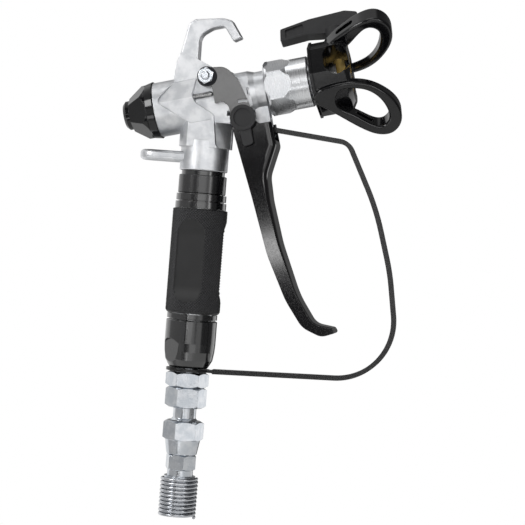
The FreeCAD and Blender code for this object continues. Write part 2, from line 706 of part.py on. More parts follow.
def rear_cap():
    """Moulded cap: plain band, six-sided flare, round knob, spring pocket and thread."""
    band_back = CAP_FACE - CAP_BAND_LENGTH
    flare_back = band_back - CAP_FLARE_LENGTH
    band = turned([(CAP_FACE, 0), (CAP_FACE, CAP_BAND_RADIUS - 0.4), (CAP_FACE - 0.4, CAP_BAND_RADIUS),
                   (band_back + 0.5, CAP_BAND_BACK_RADIUS), (band_back, CAP_BAND_BACK_RADIUS - 0.5),
                   (band_back, 0)])
    base = polygon_wire(6, CAP_HEX_BASE, band_back)
    neck = polygon_wire(6, CAP_HEX_NECK, flare_back)
    flare = Part.makeLoft([base, neck], True, True).common(rod(flare_back, band_back, CAP_BAND_BACK_RADIUS - 0.2))
    knob = turned([(flare_back + 1.8, 0), (CAP_KNOB_END, 0), (CAP_KNOB_END, CAP_KNOB_RADIUS - 1.6),
                   (CAP_KNOB_END + 1.6, CAP_KNOB_RADIUS), (flare_back + 0.6, CAP_KNOB_RADIUS),
                   (flare_back + 1.8, CAP_KNOB_RADIUS - 1.2)])
    spigot = rod(CAP_FACE, REAR_TUBE_END + CAP_THREAD_LENGTH - 0.4, CAP_THREAD_RADIUS - SEAT_GAP)
    cap = band.multiFuse([flare, knob, spigot])
    cap = cap.cut(rod(CAP_POCKET_END, CAP_FACE + 20, CAP_POCKET_RADIUS))
    groove = ring(CAP_FACE + 0.6, CAP_FACE + 2.6, CAP_THREAD_RADIUS + 1, CAP_THREAD_RADIUS - 1.9)
    return cap.cut(groove)


def polygon_wire(sides, across_flats, x):
    """Regular polygon in a plane across X."""
    corner_radius = across_flats / 2 / math.cos(math.pi / sides)
    points = []
    for index in range(sides + 1):
        angle = 2 * math.pi * index / sides
        points.append(V(x, corner_radius * math.sin(angle), corner_radius * math.cos(angle)))
    return Part.makePolygon(points)


def cap_seal():
    """Ring in the groove of the cap's thread."""
    return seal_ring(CAP_FACE + 1.6, CAP_THREAD_RADIUS - 1.9 + SEAL_WIRE_RADIUS + SEAL_BITE,
                     SEAL_WIRE_RADIUS)


def needle_carrier():
    """Round plate that the push pins drive."""
    return turned([(CARRIER_BACK, NEEDLE_RADIUS + SEAT_GAP), (CARRIER_FRONT, NEEDLE_RADIUS + SEAT_GAP),
                   (CARRIER_FRONT, CARRIER_RADIUS - 0.5), (CARRIER_FRONT - 0.5, CARRIER_RADIUS),
                   (CARRIER_BACK, CARRIER_RADIUS)])


def needle_rod():
    """Straight needle from the carrier to the ball."""
    rod_front = BALL_CENTRE - math.sqrt(BALL_RADIUS ** 2 - NEEDLE_RADIUS ** 2)
    return rod(NEEDLE_BACK, rod_front, NEEDLE_RADIUS)


def needle_ball():
    """Carbide ball, with the flat that is brazed to the needle."""
    ball = Part.makeSphere(BALL_RADIUS, V(BALL_CENTRE, 0, 0))
    rod_front = BALL_CENTRE - math.sqrt(BALL_RADIUS ** 2 - NEEDLE_RADIUS ** 2)
    return ball.cut(rod(BALL_CENTRE - 2 * BALL_RADIUS, rod_front, NEEDLE_RADIUS + 1.0))


def needle_nut():
    """Nut that holds the needle in its carrier."""
    end = CARRIER_BACK
    nut = hexagon(NEEDLE_NUT_FLATS, end - NEEDLE_NUT_HEIGHT, end, 0)
    return nut.cut(rod(end - 10, end + 1, NEEDLE_RADIUS + SEAT_GAP))


def push_pins():
    """Two pins from the carrier to the trigger's arms, with round noses."""
    pins = []
    for side in (-ROD_SIDE, ROD_SIDE):
        shank = rod(CARRIER_FRONT, ROD_FRONT - ROD_RADIUS, ROD_RADIUS)
        nose = Part.makeSphere(ROD_RADIUS, V(ROD_FRONT - ROD_RADIUS, 0, 0))
        pin = shank.fuse(nose).removeSplitter()
        pin.translate(V(0, side, ROD_Z))
        pins.append(pin)
    return Part.makeCompound(pins)


def needle_spring():
    """Return spring between the carrier and the cap's pocket."""
    front = CARRIER_BACK - SPRING_END_GAP - SPRING_WIRE / 2
    back = CAP_POCKET_END + SPRING_END_GAP + SPRING_WIRE / 2
    return coil(back, SPRING_COIL_RADIUS, (front - back) / SPRING_TURNS, SPRING_TURNS, SPRING_WIRE,
                "needle_spring")


def packing_nut():
    """Screw that squeezes the needle packing."""
    start = FLUID_BORE_START - PACKING_LENGTH
    nut = rod(CAVITY_FRONT + 0.3, start, PACKING_BORE_RADIUS - SEAT_GAP)
    return nut.cut(rod(CAVITY_FRONT - 1, start + 1, NEEDLE_RADIUS + RUNNING_GAP))


def needle_packing():
    """Stack of soft rings round the needle."""
    start = FLUID_BORE_START - PACKING_LENGTH
    return ring(start, FLUID_BORE_START, PACKING_BORE_RADIUS - SEAT_GAP, NEEDLE_RADIUS + RUNNING_GAP)


# Front housing

def front_housing():
    """Silver fluid housing with spanner flats and the guard's thread."""
    housing = turned([(HOUSING_THREAD_START + 0.4, 0), (NECK_FRONT + SEAT_GAP, 0),
                      (GUARD_THREAD_END, 0), (GUARD_THREAD_END, GUARD_THREAD_RADIUS - 0.6),
                      (GUARD_THREAD_END - 0.6, GUARD_THREAD_RADIUS), (HOUSING_FRONT, GUARD_THREAD_RADIUS),
                      (HOUSING_FRONT, HOUSING_NOSE_RADIUS - 0.6),
                      (HOUSING_FRONT - 0.6, HOUSING_NOSE_RADIUS), (HOUSING_STEP + 3, HOUSING_NOSE_RADIUS),
                      (HOUSING_STEP, HOUSING_RADIUS), (NECK_FRONT + SEAT_GAP + 1.2, HOUSING_RADIUS),
                      (NECK_FRONT + SEAT_GAP, HOUSING_RADIUS - 1.2),
                      (NECK_FRONT + SEAT_GAP, HOUSING_THREAD_RADIUS),
                      (HOUSING_THREAD_START + 0.4, HOUSING_THREAD_RADIUS)])
    housing = housing.cut(rod(HOUSING_THREAD_START, DIFFUSER_BACK, FLUID_BORE_RADIUS))
    housing = housing.cut(rod(DIFFUSER_BACK - GASKET_LENGTH, GUARD_THREAD_END + 1,
                              DIFFUSER_RADIUS + SEAT_GAP))
    for turn in range(HOUSING_FLAT_COUNT):
        housing = housing.cut(spanner_flat(HOUSING_FLAT_ROLL + 360 * turn / HOUSING_FLAT_COUNT))
    return housing


def spanner_flat(roll):
    """Cutter for one milled flat on the front housing."""
    half = HOUSING_FLATS / 2
    round_end = HOUSING_FLAT_END - HOUSING_RADIUS / 2
    length = round_end - HOUSING_FLAT_START
    block = Part.makeBox(length, HOUSING_RADIUS * 2, 10, V(HOUSING_FLAT_START, -HOUSING_RADIUS, half))
    end = Part.makeCylinder(HOUSING_RADIUS / 2, 10, V(round_end, 0, half), V(0, 0, 1))
    cutter = block.fuse(end)
    cutter.rotate(V(0, 0, 0), V(1, 0, 0), roll)
    return cutter


def seat_gasket():
    """Washer behind the diffuser."""
    return ring(DIFFUSER_BACK - GASKET_LENGTH, DIFFUSER_BACK, DIFFUSER_RADIUS, FLUID_BORE_RADIUS)


def diffuser():
    """Seat carrier in the front housing."""
    pocket = SEAT_RADIUS + SEAT_GAP
    seat_end = SEAT_BACK + SEAT_LENGTH
    return turned([(DIFFUSER_BACK, pocket), (seat_end, pocket), (seat_end, DIFFUSER_BORE_RADIUS),
                   (DIFFUSER_FRONT, DIFFUSER_BORE_RADIUS), (DIFFUSER_FRONT, DIFFUSER_RADIUS - 0.5),
                   (DIFFUSER_FRONT - 0.5, DIFFUSER_RADIUS), (DIFFUSER_BACK, DIFFUSER_RADIUS)])


def valve_seat():
    """Hard ring that the ball closes on."""
    return ring(SEAT_BACK, SEAT_BACK + SEAT_LENGTH, SEAT_RADIUS, SEAT_HOLE_RADIUS)


# Tip guard and reversing tip

def along_tip(shape):
    """Lay a piece drawn about X on the tip axis, with its +Z side forward."""
    placed = shape.copy()
    placed.rotate(V(0, 0, 0), V(0, 1, 0), -90)
    placed.rotate(V(0, 0, 0), V(1, 0, 0), -GUARD_ROLL)
    placed.translate(V(TIP_X, 0, 0))
    return placed


def tip_plane(shape):
    """Turn a piece drawn with the tip axis upright to the tip's real lean."""
    placed = shape.copy()
    placed.rotate(V(0, 0, 0), V(1, 0, 0), -GUARD_ROLL)
    return placed


def guard_nut():
    """Ring nut caught in the guard."""
    nut = turned([(NUT_BACK, GUARD_THREAD_RADIUS + SEAT_GAP), (NUT_FRONT, GUARD_THREAD_RADIUS + SEAT_GAP),
                  (NUT_FRONT, NUT_FLANGE_RADIUS), (NUT_FLANGE_START, NUT_FLANGE_RADIUS),
                  (NUT_FLANGE_START, NUT_RADIUS), (NUT_BACK, NUT_RADIUS)])
    return nut


def smooth_face(points):
    """Face inside one smooth closed curve through (x, z) points."""
    curve = Part.BSplineCurve()
    curve.interpolate(Points=[V(x, 0, z) for x, z in points], PeriodicFlag=True)
    return Part.Face(Part.Wire(curve.toShape()))


def loop_outer(spread):
    """Outer outline of one guard loop: x and distance down the loop's plane, its long strand moved back by spread."""
    front = [(70.0, -0.6), (80.0, -1.8), (90.0, -1.0), (98.4, 2.4), (105.8, 8.8), (111.0, 16.6),
             (112.8, 24.8), (110.6, 32.4), (105.0, 36.8)]
    strand = [(97.4, 36.4, 0.2), (89.0, 31.2, 0.8), (79.0, 21.8, 1.4), (69.5, 12.6, 0.7), (64.0, 4.0, 0)]
    return front + [(x - spread * share, z) for x, z, share in strand]


def loop_hole():
    """Inner outline of one guard loop."""
    return [(77.0, 7.6), (80.0, 2.8), (89.0, 3.0), (96.6, 6.4), (102.0, 12.4), (105.0, 20.0), (104.6, 27.6),
            (100.0, 30.8), (93.4, 27.6), (85.4, 20.2)]


def guard_loop(lean, spread):
    """One closed finger-guard loop: narrow at its inner strand, wide at its outer one, edges rounded."""
    reach = LOOP_WIDE + 1
    outer = smooth_face(loop_outer(spread))
    outer.translate(V(0, -reach, 0))
    hole = smooth_face(loop_hole())
    hole.translate(V(0, -reach - 1, 0))
    band = outer.extrude(V(0, 2 * reach, 0)).cut(hole.extrude(V(0, 2 * reach + 2, 0)))
    corners = [V(0, -LOOP_NARROW, LOOP_HEAD), V(0, -LOOP_WIDE, LOOP_FOOT),
               V(0, LOOP_WIDE, LOOP_FOOT), V(0, LOOP_NARROW, LOOP_HEAD)]
    taper = Part.Face(Part.makePolygon(corners + [corners[0]])).extrude(V(140, 0, 0))
    loop = band.common(taper)
    rims = [edge for edge in loop.Edges if edge.Length > 4 * LOOP_WIDE]
    loop = loop.makeFillet(LOOP_EDGE_RADIUS, rims)
    slot = Part.makeBox(LOOP_SLOT_LENGTH, LOOP_SLOT_WIDTH, 16, V(-LOOP_SLOT_LENGTH / 2, -LOOP_SLOT_WIDTH / 2, -8))
    for end in (-1, 1):
        slot = slot.fuse(Part.makeCylinder(LOOP_SLOT_WIDTH / 2, 16,
                                           V(end * LOOP_SLOT_LENGTH / 2, 0, -8), V(0, 0, 1)))
    slot.rotate(V(0, 0, 0), V(0, 1, 0), -43)
    slot.translate(V(87.0, 0, 29.5))
    loop = loop.cut(slot)
    loop.rotate(V(0, 0, 0), V(1, 0, 0), 180 + lean)
    return loop


def tip_guard():
    """Eight-sided block with two loops, the tip's bore, side windows and the spray opening."""
    block = polygon_bar(8, GUARD_FLATS, GUARD_BACK, GUARD_FRONT, 22.5)
    corner_radius = GUARD_FLATS / 2 / math.cos(math.pi / 8)
    bevel = turned([(GUARD_BACK, 0), (GUARD_FRONT, 0), (GUARD_FRONT, GUARD_FLATS / 2 - GUARD_FRONT_BEVEL),
                    (GUARD_FRONT - GUARD_FRONT_BEVEL, corner_radius), (GUARD_BACK, corner_radius)])
    rim = polygon_bar(8, GUARD_RIM_FLATS, GUARD_BACK, GUARD_BACK + GUARD_RIM, 22.5)
    block = tip_plane(block.common(bevel).fuse(rim))
    lower = guard_loop(LOOP_LEAN, 0)
    upper = guard_loop(UPPER_LOOP_LEAN, UPPER_LOOP_SPREAD)
    lower.translate(V(0, -LOOP_ROOT_Y, -LOOP_ROOT_Z))
    upper.rotate(V(0, 0, 0), V(1, 0, 0), 180)
    upper.translate(V(LOOP_STAGGER, UPPER_LOOP_ROOT_Y, UPPER_LOOP_ROOT_Z))
    core = rod(GUARD_BACK - 1, TIP_X, NUT_RADIUS - 4)
    guard = block.multiFuse([lower.cut(core), upper.cut(core)])
    cuts = [rod(GUARD_BACK - 1, NUT_FRONT + FREE_GAP, NUT_RADIUS + FREE_GAP),
            rod(NUT_FLANGE_START - FREE_GAP, NUT_FRONT + FREE_GAP, NUT_FLANGE_RADIUS + FREE_GAP),
            rod(NUT_FRONT, TIP_X, DIFFUSER_RADIUS + RUNNING_GAP),
            along_tip(rod(TIP_FOOT - FREE_GAP, 40, TIP_RADIUS + RUNNING_GAP)),
            along_tip(rod(TIP_HEAD - 2 * FREE_GAP, 40, FLAG_HUB_RADIUS + 2 * FREE_GAP)),
            turned([(TIP_X, 0), (GUARD_FRONT + 1, 0), (GUARD_FRONT + 1, SPRAY_HOLE_RADIUS + 2.4),
                    (TIP_X, SPRAY_HOLE_RADIUS)])]
    cuts += [tip_plane(side) for side in both_sides(side_window())]
    fan = Part.makeBox(8, 7, 2 * GUARD_FLATS, V(TIP_X + 4.2, -3.5, -GUARD_FLATS))
    cuts.append(tip_plane(fan).common(rod(TIP_X, GUARD_FRONT + 2, GUARD_FLATS * 0.36)))
    for cut in cuts:
        guard = guard.cut(cut)
    return guard


def side_window():
    """Cutter for one side window: a tall flared opening down to the tip barrel."""
    face = GUARD_FLATS / 2
    ends = []
    for centre in (WINDOW_TOP, WINDOW_FOOT):
        ends.append(Part.makeCone(WINDOW_RADIUS, WINDOW_RADIUS + WINDOW_FLARE, face - TIP_RADIUS + 2,
                                  V(WINDOW_X, TIP_RADIUS - 1, centre), V(0, 1, 0)))
    inner, outer = [], []
    for side, centre in ((-1, WINDOW_TOP), (1, WINDOW_TOP), (1, WINDOW_FOOT), (-1, WINDOW_FOOT)):
        inner.append(V(WINDOW_X + side * WINDOW_RADIUS, TIP_RADIUS - 1, centre))
        outer.append(V(WINDOW_X + side * (WINDOW_RADIUS + WINDOW_FLARE), face + 1, centre))
    middle = Part.makeLoft([Part.makePolygon(inner + [inner[0]]), Part.makePolygon(outer + [outer[0]])], True, True)
    return ends[0].multiFuse([ends[1], middle])


def saddle_cut():
    """Bore that the tip barrel leaves in the seal behind it."""
    return along_tip(rod(-30, 30, TIP_RADIUS + RUNNING_GAP))


def tip_gasket():
    """Soft ring between the diffuser and the metal seal."""
    return ring(DIFFUSER_FRONT + FREE_GAP, DIFFUSER_FRONT + 3.4, DIFFUSER_RADIUS - 0.4, 3.0)


def tip_seal():
    """Metal seal with a saddle that fits the tip barrel."""
    start = DIFFUSER_FRONT + 3.4
    seal = ring(start, TIP_X - 2, DIFFUSER_RADIUS - 0.2, 2.2)
    return seal.cut(saddle_cut())


def tip_barrel():
    """Turned barrel that carries the orifice across the spray line."""
    barrel = along_tip(bevelled_rod(TIP_FOOT, TIP_HEAD, TIP_RADIUS, 0.6))
    barrel = barrel.cut(rod(TIP_X - 10, TIP_X + 10, TIP_BORE_RADIUS))
    pocket = rod(TIP_X - CARBIDE_HALF_LENGTH, TIP_X + 10, CARBIDE_RADIUS + SEAT_GAP)
    return barrel.cut(pocket)


def tip_carbide():
    """Hard insert with the spray orifice."""
    insert = rod(TIP_X - CARBIDE_HALF_LENGTH, TIP_X + CARBIDE_HALF_LENGTH + 1, CARBIDE_RADIUS)
    insert = insert.cut(rod(TIP_X - 10, TIP_X + 10, ORIFICE_RADIUS))
    nose = Part.makeBox(2, 2 * CARBIDE_RADIUS + 1, 0.8,
                        V(TIP_X + CARBIDE_HALF_LENGTH + 0.4, -CARBIDE_RADIUS - 0.5, -0.4))
    nose = tip_plane(nose)
    nose.rotate(V(0, 0, 0), V(1, 0, 0), 90)
    return insert.cut(nose)


def flag_outline():
    """Side view of the tip's handle: x and height along the tip axis."""
    return [(FLAG_TAIL_X, FLAG_FOOT, 0.8), (64.0, FLAG_FOOT + 1.4, 2.0), (73.0, FLAG_FOOT, 3.0),
            (TIP_X + 7.0, FLAG_FOOT, 2.0), (FLAG_NOSE_X, 34.0, 2.0), (FLAG_NOSE_X, 41.0, 2.0),
            (88.0, 43.4, 6.0), (66.0, 42.0, 4.0), (FLAG_TAIL_X + 0.6, 38.5, 1.0)]


def tip_handle():
    """Moulded handle on the tip barrel, with a bare number recess on each face."""
    flag = centred_plate(flag_outline(), FLAG_HALF_THICKNESS)
    hub = Part.makeCylinder(FLAG_HUB_RADIUS, FLAG_FOOT + 2 - TIP_HEAD, V(TIP_X, 0, TIP_HEAD + SEAT_GAP),
                            V(0, 0, 1))
    flag = flag.fuse(hub)
    recess = plate([(50.8, FLAG_FOOT + 1.6, 0.8), (62.0, FLAG_FOOT + 2.8, 0.8),
                    (62.0, FLAG_FOOT + 9.6, 0.8), (50.8, FLAG_FOOT + 7.6, 0.8)],
                   FLAG_HALF_THICKNESS - FLAG_RECESS_DEPTH, FLAG_HALF_THICKNESS + 1)
    for side in both_sides(recess):
        flag = flag.cut(side)
    return tip_plane(flag)


# Trigger, pivot and lock

def trigger_outline():
    """Side view of the trigger, from the pivot ear down the rear edge and up the front."""
    ear = PIVOT_EAR_RADIUS
    return [(PIVOT_X - ear, PIVOT_Z + ear, ear - 0.9), (PIVOT_X - ear, PIVOT_Z - ear, ear - 0.4),
            (ARM_REAR_X, PIVOT_Z - ear, 1.2), (ARM_REAR_X, -4.6, 1.2), (9.8, -3.0, 2.5),
            (13.3, -7.0, 3.5), (13.5, -24.0, 40.0), (17.6, -63.0, 80.0), (20.7, -98.0, 60.0),
            (26.7, -126.0, 50.0), (33.7, -143.6, 14.0), (44.0, -151.0, 8.0), (52.4, -150.0, 0),
            (51.4, -146.6, 0), (40.7, -142.3, 9.0), (33.9, -124.4, 60.0), (29.0, -92.0, 80.0),
            (27.7, -66.0, 50.0), (28.4, -51.0, 14.0), (37.0, -34.6, 6.0), (36.6, -20.4, 0),
            (28.6, -20.4, 2.5), (25.9, -9.0, 10.0), (21.4, 8.0, 8.0), (15.0, 16.6, 8.0)]


def channel_outline():
    """Hollow between the trigger's side walls, open to the rear."""
    return [(-20.0, 30.0, 0), (-20.0, -145.0, 0), (24.0, -134.0, 0),
            (36.7 - TRIGGER_WEB, -132.6, 2.5), (33.7 - TRIGGER_WEB, -124.4, 40.0),
            (28.8 - TRIGGER_WEB, -92.0, 60.0), (27.7 - TRIGGER_WEB, -66.0, 40.0),
            (28.4 - TRIGGER_WEB, -52.0, 10.0), (36.6 - TRIGGER_WEB, -36.4, 3.0),
            (37.6 - TRIGGER_WEB, WEB_TOP, 0), (60.0, WEB_TOP, 0), (60.0, 30.0, 0)]


def trigger():
    """Trigger: two side plates on the pivot, joined by the curved front web."""
    blank = centred_plate(trigger_outline(), PLATE_OUTER)
    front = [edge for edge in blank.Edges
             if edge.BoundBox.YLength < 0.01 and edge.BoundBox.ZLength > 0.01
             and edge.BoundBox.ZMax < -20.3 and edge.BoundBox.ZMin > -149.0
             and edge.CenterOfMass.x > front_line(edge.CenterOfMass.z)]
    blank = blank.makeFillet(TRIGGER_EDGE_RADIUS, front)
    tip = [edge for edge in blank.Edges
           if edge.BoundBox.YLength > PLATE_OUTER and edge.BoundBox.ZMax < -145.0
           and edge.BoundBox.XMin > 50.0]
    blank = blank.makeFillet(TRIGGER_TIP_RADIUS, tip)
    head, start, foot = TRIGGER_HEAD_Z, TRIGGER_TAPER_Z, TRIGGER_FOOT_Z
    half = [(PLATE_OUTER, head), (PLATE_OUTER, start), (TRIGGER_FOOT_HALF_WIDTH, foot),
            (TRIGGER_FOOT_HALF_WIDTH, foot - TRIGGER_TIP_ROOM)]
    taper = [V(TRIGGER_REAR_X, -y, z) for y, z in half] + [V(TRIGGER_REAR_X, y, z) for y, z in half[::-1]]
    wedge = Part.Face(Part.makePolygon(taper + [taper[0]])).extrude(V(TRIGGER_SPAN, 0, 0))
    lever = blank.common(wedge)
    lever = lever.cut(channel())
    lever = lever.cut(cross_bar(PIVOT_X, PIVOT_Z, PIVOT_BOLT_RADIUS + RUNNING_GAP, -20, 20))
    lever = lever.cut(cross_bar(LOCK_X, LOCK_Z, LOCK_SPINDLE_RADIUS + RUNNING_GAP, -20, 20))
    return lever.cut(lock_slot())


def front_line(z):
    """X of a line that runs between the trigger's rear and front edges."""
    if z < -126.0:
        return 30.0 - 0.4 * (z + 126.0)
    if z < -98.0:
        return 24.5 - 0.2 * (z + 98.0)
    return 24.0


def channel():
    """Cutter for the trigger's hollow; it narrows with the foot."""
    floor = centred_plate(channel_outline(), PLATE_INNER)
    foot = TRIGGER_FOOT_HALF_WIDTH - TRIGGER_WALL + 0.4
    sides = [V(-30, -PLATE_INNER, 40), V(-30, -PLATE_INNER, -46), V(-30, -foot, -152),
             V(-30, foot, -152), V(-30, PLATE_INNER, -46), V(-30, PLATE_INNER, 40)]
    wedge = Part.Face(Part.makePolygon(sides + [sides[0]])).extrude(V(120, 0, 0))
    return floor.common(wedge)


def lock_slot():
    """Curved slot over the lock, through both plates."""
    inner = LOCK_SLOT_RADIUS - LOCK_SLOT_WIDTH / 2
    outer = LOCK_SLOT_RADIUS + LOCK_SLOT_WIDTH / 2
    middle = math.radians(84)
    half = math.radians(LOCK_SLOT_SWEEP / 2)
    band = cross_bar(LOCK_X, LOCK_Z, outer, -20, 20).cut(cross_bar(LOCK_X, LOCK_Z, inner, -20, 20))
    far = 40.0
    sector = [(LOCK_X, LOCK_Z, 0),
              (LOCK_X + far * math.cos(middle - half), LOCK_Z + far * math.sin(middle - half), 0),
              (LOCK_X + far * math.cos(middle + half), LOCK_Z + far * math.sin(middle + half), 0)]
    return band.common(centred_plate(sector, 20))


def pivot_bolt():
    """Bolt through body and trigger, its head on the far side."""
    stack = PLATE_OUTER + SEAT_GAP + PIVOT_WASHER_THICKNESS + SEAT_GAP
    near_end = -(stack + PIVOT_NUT_HEIGHT + PIVOT_BOLT_OVERRUN)
    shank = cross_bar(PIVOT_X, PIVOT_Z, PIVOT_BOLT_RADIUS, near_end + 0.5, stack)
    tip = Part.makeCone(PIVOT_BOLT_RADIUS - 0.6, PIVOT_BOLT_RADIUS, 0.5, V(PIVOT_X, near_end, PIVOT_Z),
                        V(0, 1, 0))
    head = place_across(hexagon(PIVOT_NUT_FLATS, 0, 4.2, 0, (False, True)), stack, 1)
    return shank.multiFuse([tip, head])


def place_across(shape, y, side):
    """Lay a piece drawn about X across the gun at the pivot, pointing away from the middle."""
    placed = shape.copy()
    placed.rotate(V(0, 0, 0), V(0, 0, 1), 90 * side)
    placed.translate(V(PIVOT_X, y * side, PIVOT_Z))
    return placed


def pivot_nut():
    """Nut on the near side."""
    start = PLATE_OUTER + SEAT_GAP + PIVOT_WASHER_THICKNESS + SEAT_GAP
    nut = hexagon(PIVOT_NUT_FLATS, 0, PIVOT_NUT_HEIGHT, 20, (False, True))
    nut = nut.cut(rod(-1, PIVOT_NUT_HEIGHT + 1, PIVOT_BOLT_RADIUS + SEAT_GAP))
    return place_across(nut, start, -1)


def pivot_washers():
    """One washer outside each plate."""
    washer = ring(0, PIVOT_WASHER_THICKNESS, PIVOT_WASHER_RADIUS, PIVOT_BOLT_RADIUS + SEAT_GAP)
    start = PLATE_OUTER + SEAT_GAP
    return Part.makeCompound([place_across(washer, start, -1), place_across(washer, start, 1)])


def lock_spindle():
    """Pin through both plates that carries the lock knobs."""
    reach = LOCK_KNOB_FACE + LOCK_KNOB_THICKNESS - LOCK_DISH_DEPTH - 0.6
    return cross_bar(LOCK_X, LOCK_Z, LOCK_SPINDLE_RADIUS, -reach, reach)


def lock_knobs():
    """Round knob with a short tail, one each side; a hub holds it clear of the body's panels."""
    start = LOCK_KNOB_FACE
    end = start + LOCK_KNOB_THICKNESS
    disc = cross_bar(LOCK_X, LOCK_Z, LOCK_KNOB_RADIUS, start, end)
    tail = plate([(LOCK_X - LOCK_TAIL_WIDTH / 2 - 0.6, LOCK_Z, 0),
                  (LOCK_X - LOCK_TAIL_WIDTH / 2 + 0.6, LOCK_Z - LOCK_TAIL_LENGTH, 1.6),
                  (LOCK_X + LOCK_TAIL_WIDTH / 2 + 0.6, LOCK_Z - LOCK_TAIL_LENGTH + 1.2, 1.6),
                  (LOCK_X + LOCK_TAIL_WIDTH / 2 + 0.6, LOCK_Z, 0)], start, end - 0.8)
    hub = cross_bar(LOCK_X, LOCK_Z, LOCK_HUB_RADIUS, PLATE_OUTER + FREE_GAP, start + 1)
    knob = disc.multiFuse([tail, hub])
    knob = knob.cut(cross_bar(LOCK_X, LOCK_Z, LOCK_DISH_RADIUS, end - LOCK_DISH_DEPTH, end + 1))
    knob = knob.cut(cross_bar(LOCK_X, LOCK_Z, LOCK_SPINDLE_RADIUS + SEAT_GAP, 0, end - LOCK_DISH_DEPTH - 0.4))
    return Part.makeCompound(both_sides(knob))


# Trigger guard

def bar_route():
    """Centre line of the bar from the front lug to the eye round the inlet."""
    eye_x, eye_z = handle_point(EYE_CENTRE, EYE_RADIUS + 2.0)
    bend_z = BAR_START_Z + (BAR_BEND_X - BAR_START_X) * math.tan(BAR_SLOPE)
    return [(BAR_START_X, BAR_START_Z, 0), (BAR_BEND_X, bend_z, 9.0), (88.0, -82.0, 150.0),
            (89.6, -120.4, 130.0), (84.0, -184.4, 34.0), (eye_x, eye_z, 0)]


def trigger_guard():
    """Bent bar with a flattened eye at each end."""
    corners = bar_route()
    edges = rounded_edges(corners, closed=False)
    spine = Part.Wire(edges)
    way = V(math.cos(BAR_SLOPE), 0, math.sin(BAR_SLOPE))
    across = V(0, 1, 0)
    up = way.cross(across)
    start = V(BAR_START_X, 0, BAR_START_Z)
    half = BAR_THICKNESS / 2
    corners_2d = [(-BAR_HALF_WIDTH, -half), (BAR_HALF_WIDTH, -half), (BAR_HALF_WIDTH, half),
                  (-BAR_HALF_WIDTH, half)]
    points = [start + across * y + up * z for y, z in corners_2d]
    profile = Part.makePolygon(points + [points[0]])
    bar = spine.makePipeShell([profile], True, False)
    eye = down_handle(rod(EYE_CENTRE - EYE_THICKNESS / 2, EYE_CENTRE + EYE_THICKNESS / 2, EYE_RADIUS))
    tongue = down_handle(Part.makeBox(EYE_THICKNESS, 2 * BAR_HALF_WIDTH + 2, EYE_RADIUS + 3.0,
                                      V(EYE_CENTRE - EYE_THICKNESS / 2, -BAR_HALF_WIDTH - 1, 0)))
    pad = guard_pad()
    guard = bar.multiFuse([eye, tongue, pad])
    guard = guard.cut(down_handle(rod(EYE_CENTRE - 5, EYE_CENTRE + 5, STEM_THREAD_RADIUS + FREE_GAP)))
    return guard.cut(guard_screw_bar(GUARD_SCREW_RADIUS + SEAT_GAP, 10))


def guard_pad():
    """Round pad at the bar's front end, under the body's lug."""
    up = V(-math.sin(BAR_SLOPE), 0, math.cos(BAR_SLOPE))
    foot = V(BAR_START_X, 0, BAR_START_Z) - up * (BAR_THICKNESS / 2)
    return Part.makeCylinder(FRONT_EYE_RADIUS, BAR_THICKNESS, foot, up)


def guard_screw_bar(radius, reach):
    """Bar on the guard screw's axis, from under the pad up into the lug."""
    up = V(-math.sin(BAR_SLOPE), 0, math.cos(BAR_SLOPE))
    foot = V(BAR_START_X, 0, BAR_START_Z) - up * (BAR_THICKNESS / 2)
    return Part.makeCylinder(radius, BAR_THICKNESS + reach, foot, up)


def guard_screw():
    """Pan-head screw that holds the bar to the lug."""
    up = V(-math.sin(BAR_SLOPE), 0, math.cos(BAR_SLOPE))
    foot = V(BAR_START_X, 0, BAR_START_Z) - up * (BAR_THICKNESS / 2 + GUARD_SCREW_HEAD_HEIGHT)
    head = Part.makeCylinder(GUARD_SCREW_HEAD_RADIUS, GUARD_SCREW_HEAD_HEIGHT, foot, up)
    slot = Part.makeBox(20, 0.8, 20, V(-10, -0.4, -20))
    slot.rotate(V(0, 0, 0), V(0, 1, 0), -math.degrees(BAR_SLOPE))
    slot.translate(foot + up * 0.8)
    return head.cut(slot).fuse(guard_screw_bar(GUARD_SCREW_RADIUS, GUARD_SCREW_REACH))


# Handle

def handle_tube():
    """Pressure tube inside the grip."""
    spigot = SOCKET_THREAD_RADIUS
    return down_handle(turned([(TUBE_SPIGOT_START, TUBE_BORE_RADIUS - 1.2), (COLLAR_START, TUBE_BORE_RADIUS - 1.2),
                               (COLLAR_START + 3, TUBE_BORE_RADIUS), (TUBE_END, TUBE_BORE_RADIUS),
                               (TUBE_END, TUBE_RADIUS), (COLLAR_START, TUBE_RADIUS), (COLLAR_START, spigot),
                               (TUBE_SPIGOT_START, spigot)]))


def handle_collar():
    """Ringed collar over the tube's top end."""
    bore = TUBE_RADIUS + SEAT_GAP
    groove = COLLAR_NECK_RADIUS + 0.7
    return down_handle(turned([(COLLAR_START, bore), (GRIP_START - 0.2, bore),
                               (GRIP_START - 0.2, COLLAR_FOOT_RADIUS),
                               (COLLAR_FOOT_START, COLLAR_FOOT_RADIUS), (COLLAR_FOOT_START, groove),
                               (COLLAR_RING_END, groove), (COLLAR_RING_END, COLLAR_RING_RADIUS),
                               (RATING_END + 0.4, COLLAR_RING_RADIUS), (RATING_END + 0.4, COLLAR_NECK_RADIUS),
                               (COLLAR_START, COLLAR_NECK_RADIUS)]))


def rating_ring():
    """Bare ring on the collar."""
    return down_handle(turned([(RATING_START, COLLAR_NECK_RADIUS + SEAT_GAP),
                               (RATING_END, COLLAR_NECK_RADIUS + SEAT_GAP), (RATING_END, RATING_RADIUS - 0.4),
                               (RATING_END - 0.4, RATING_RADIUS), (RATING_START + 0.4, RATING_RADIUS),
                               (RATING_START, RATING_RADIUS - 0.4)]))


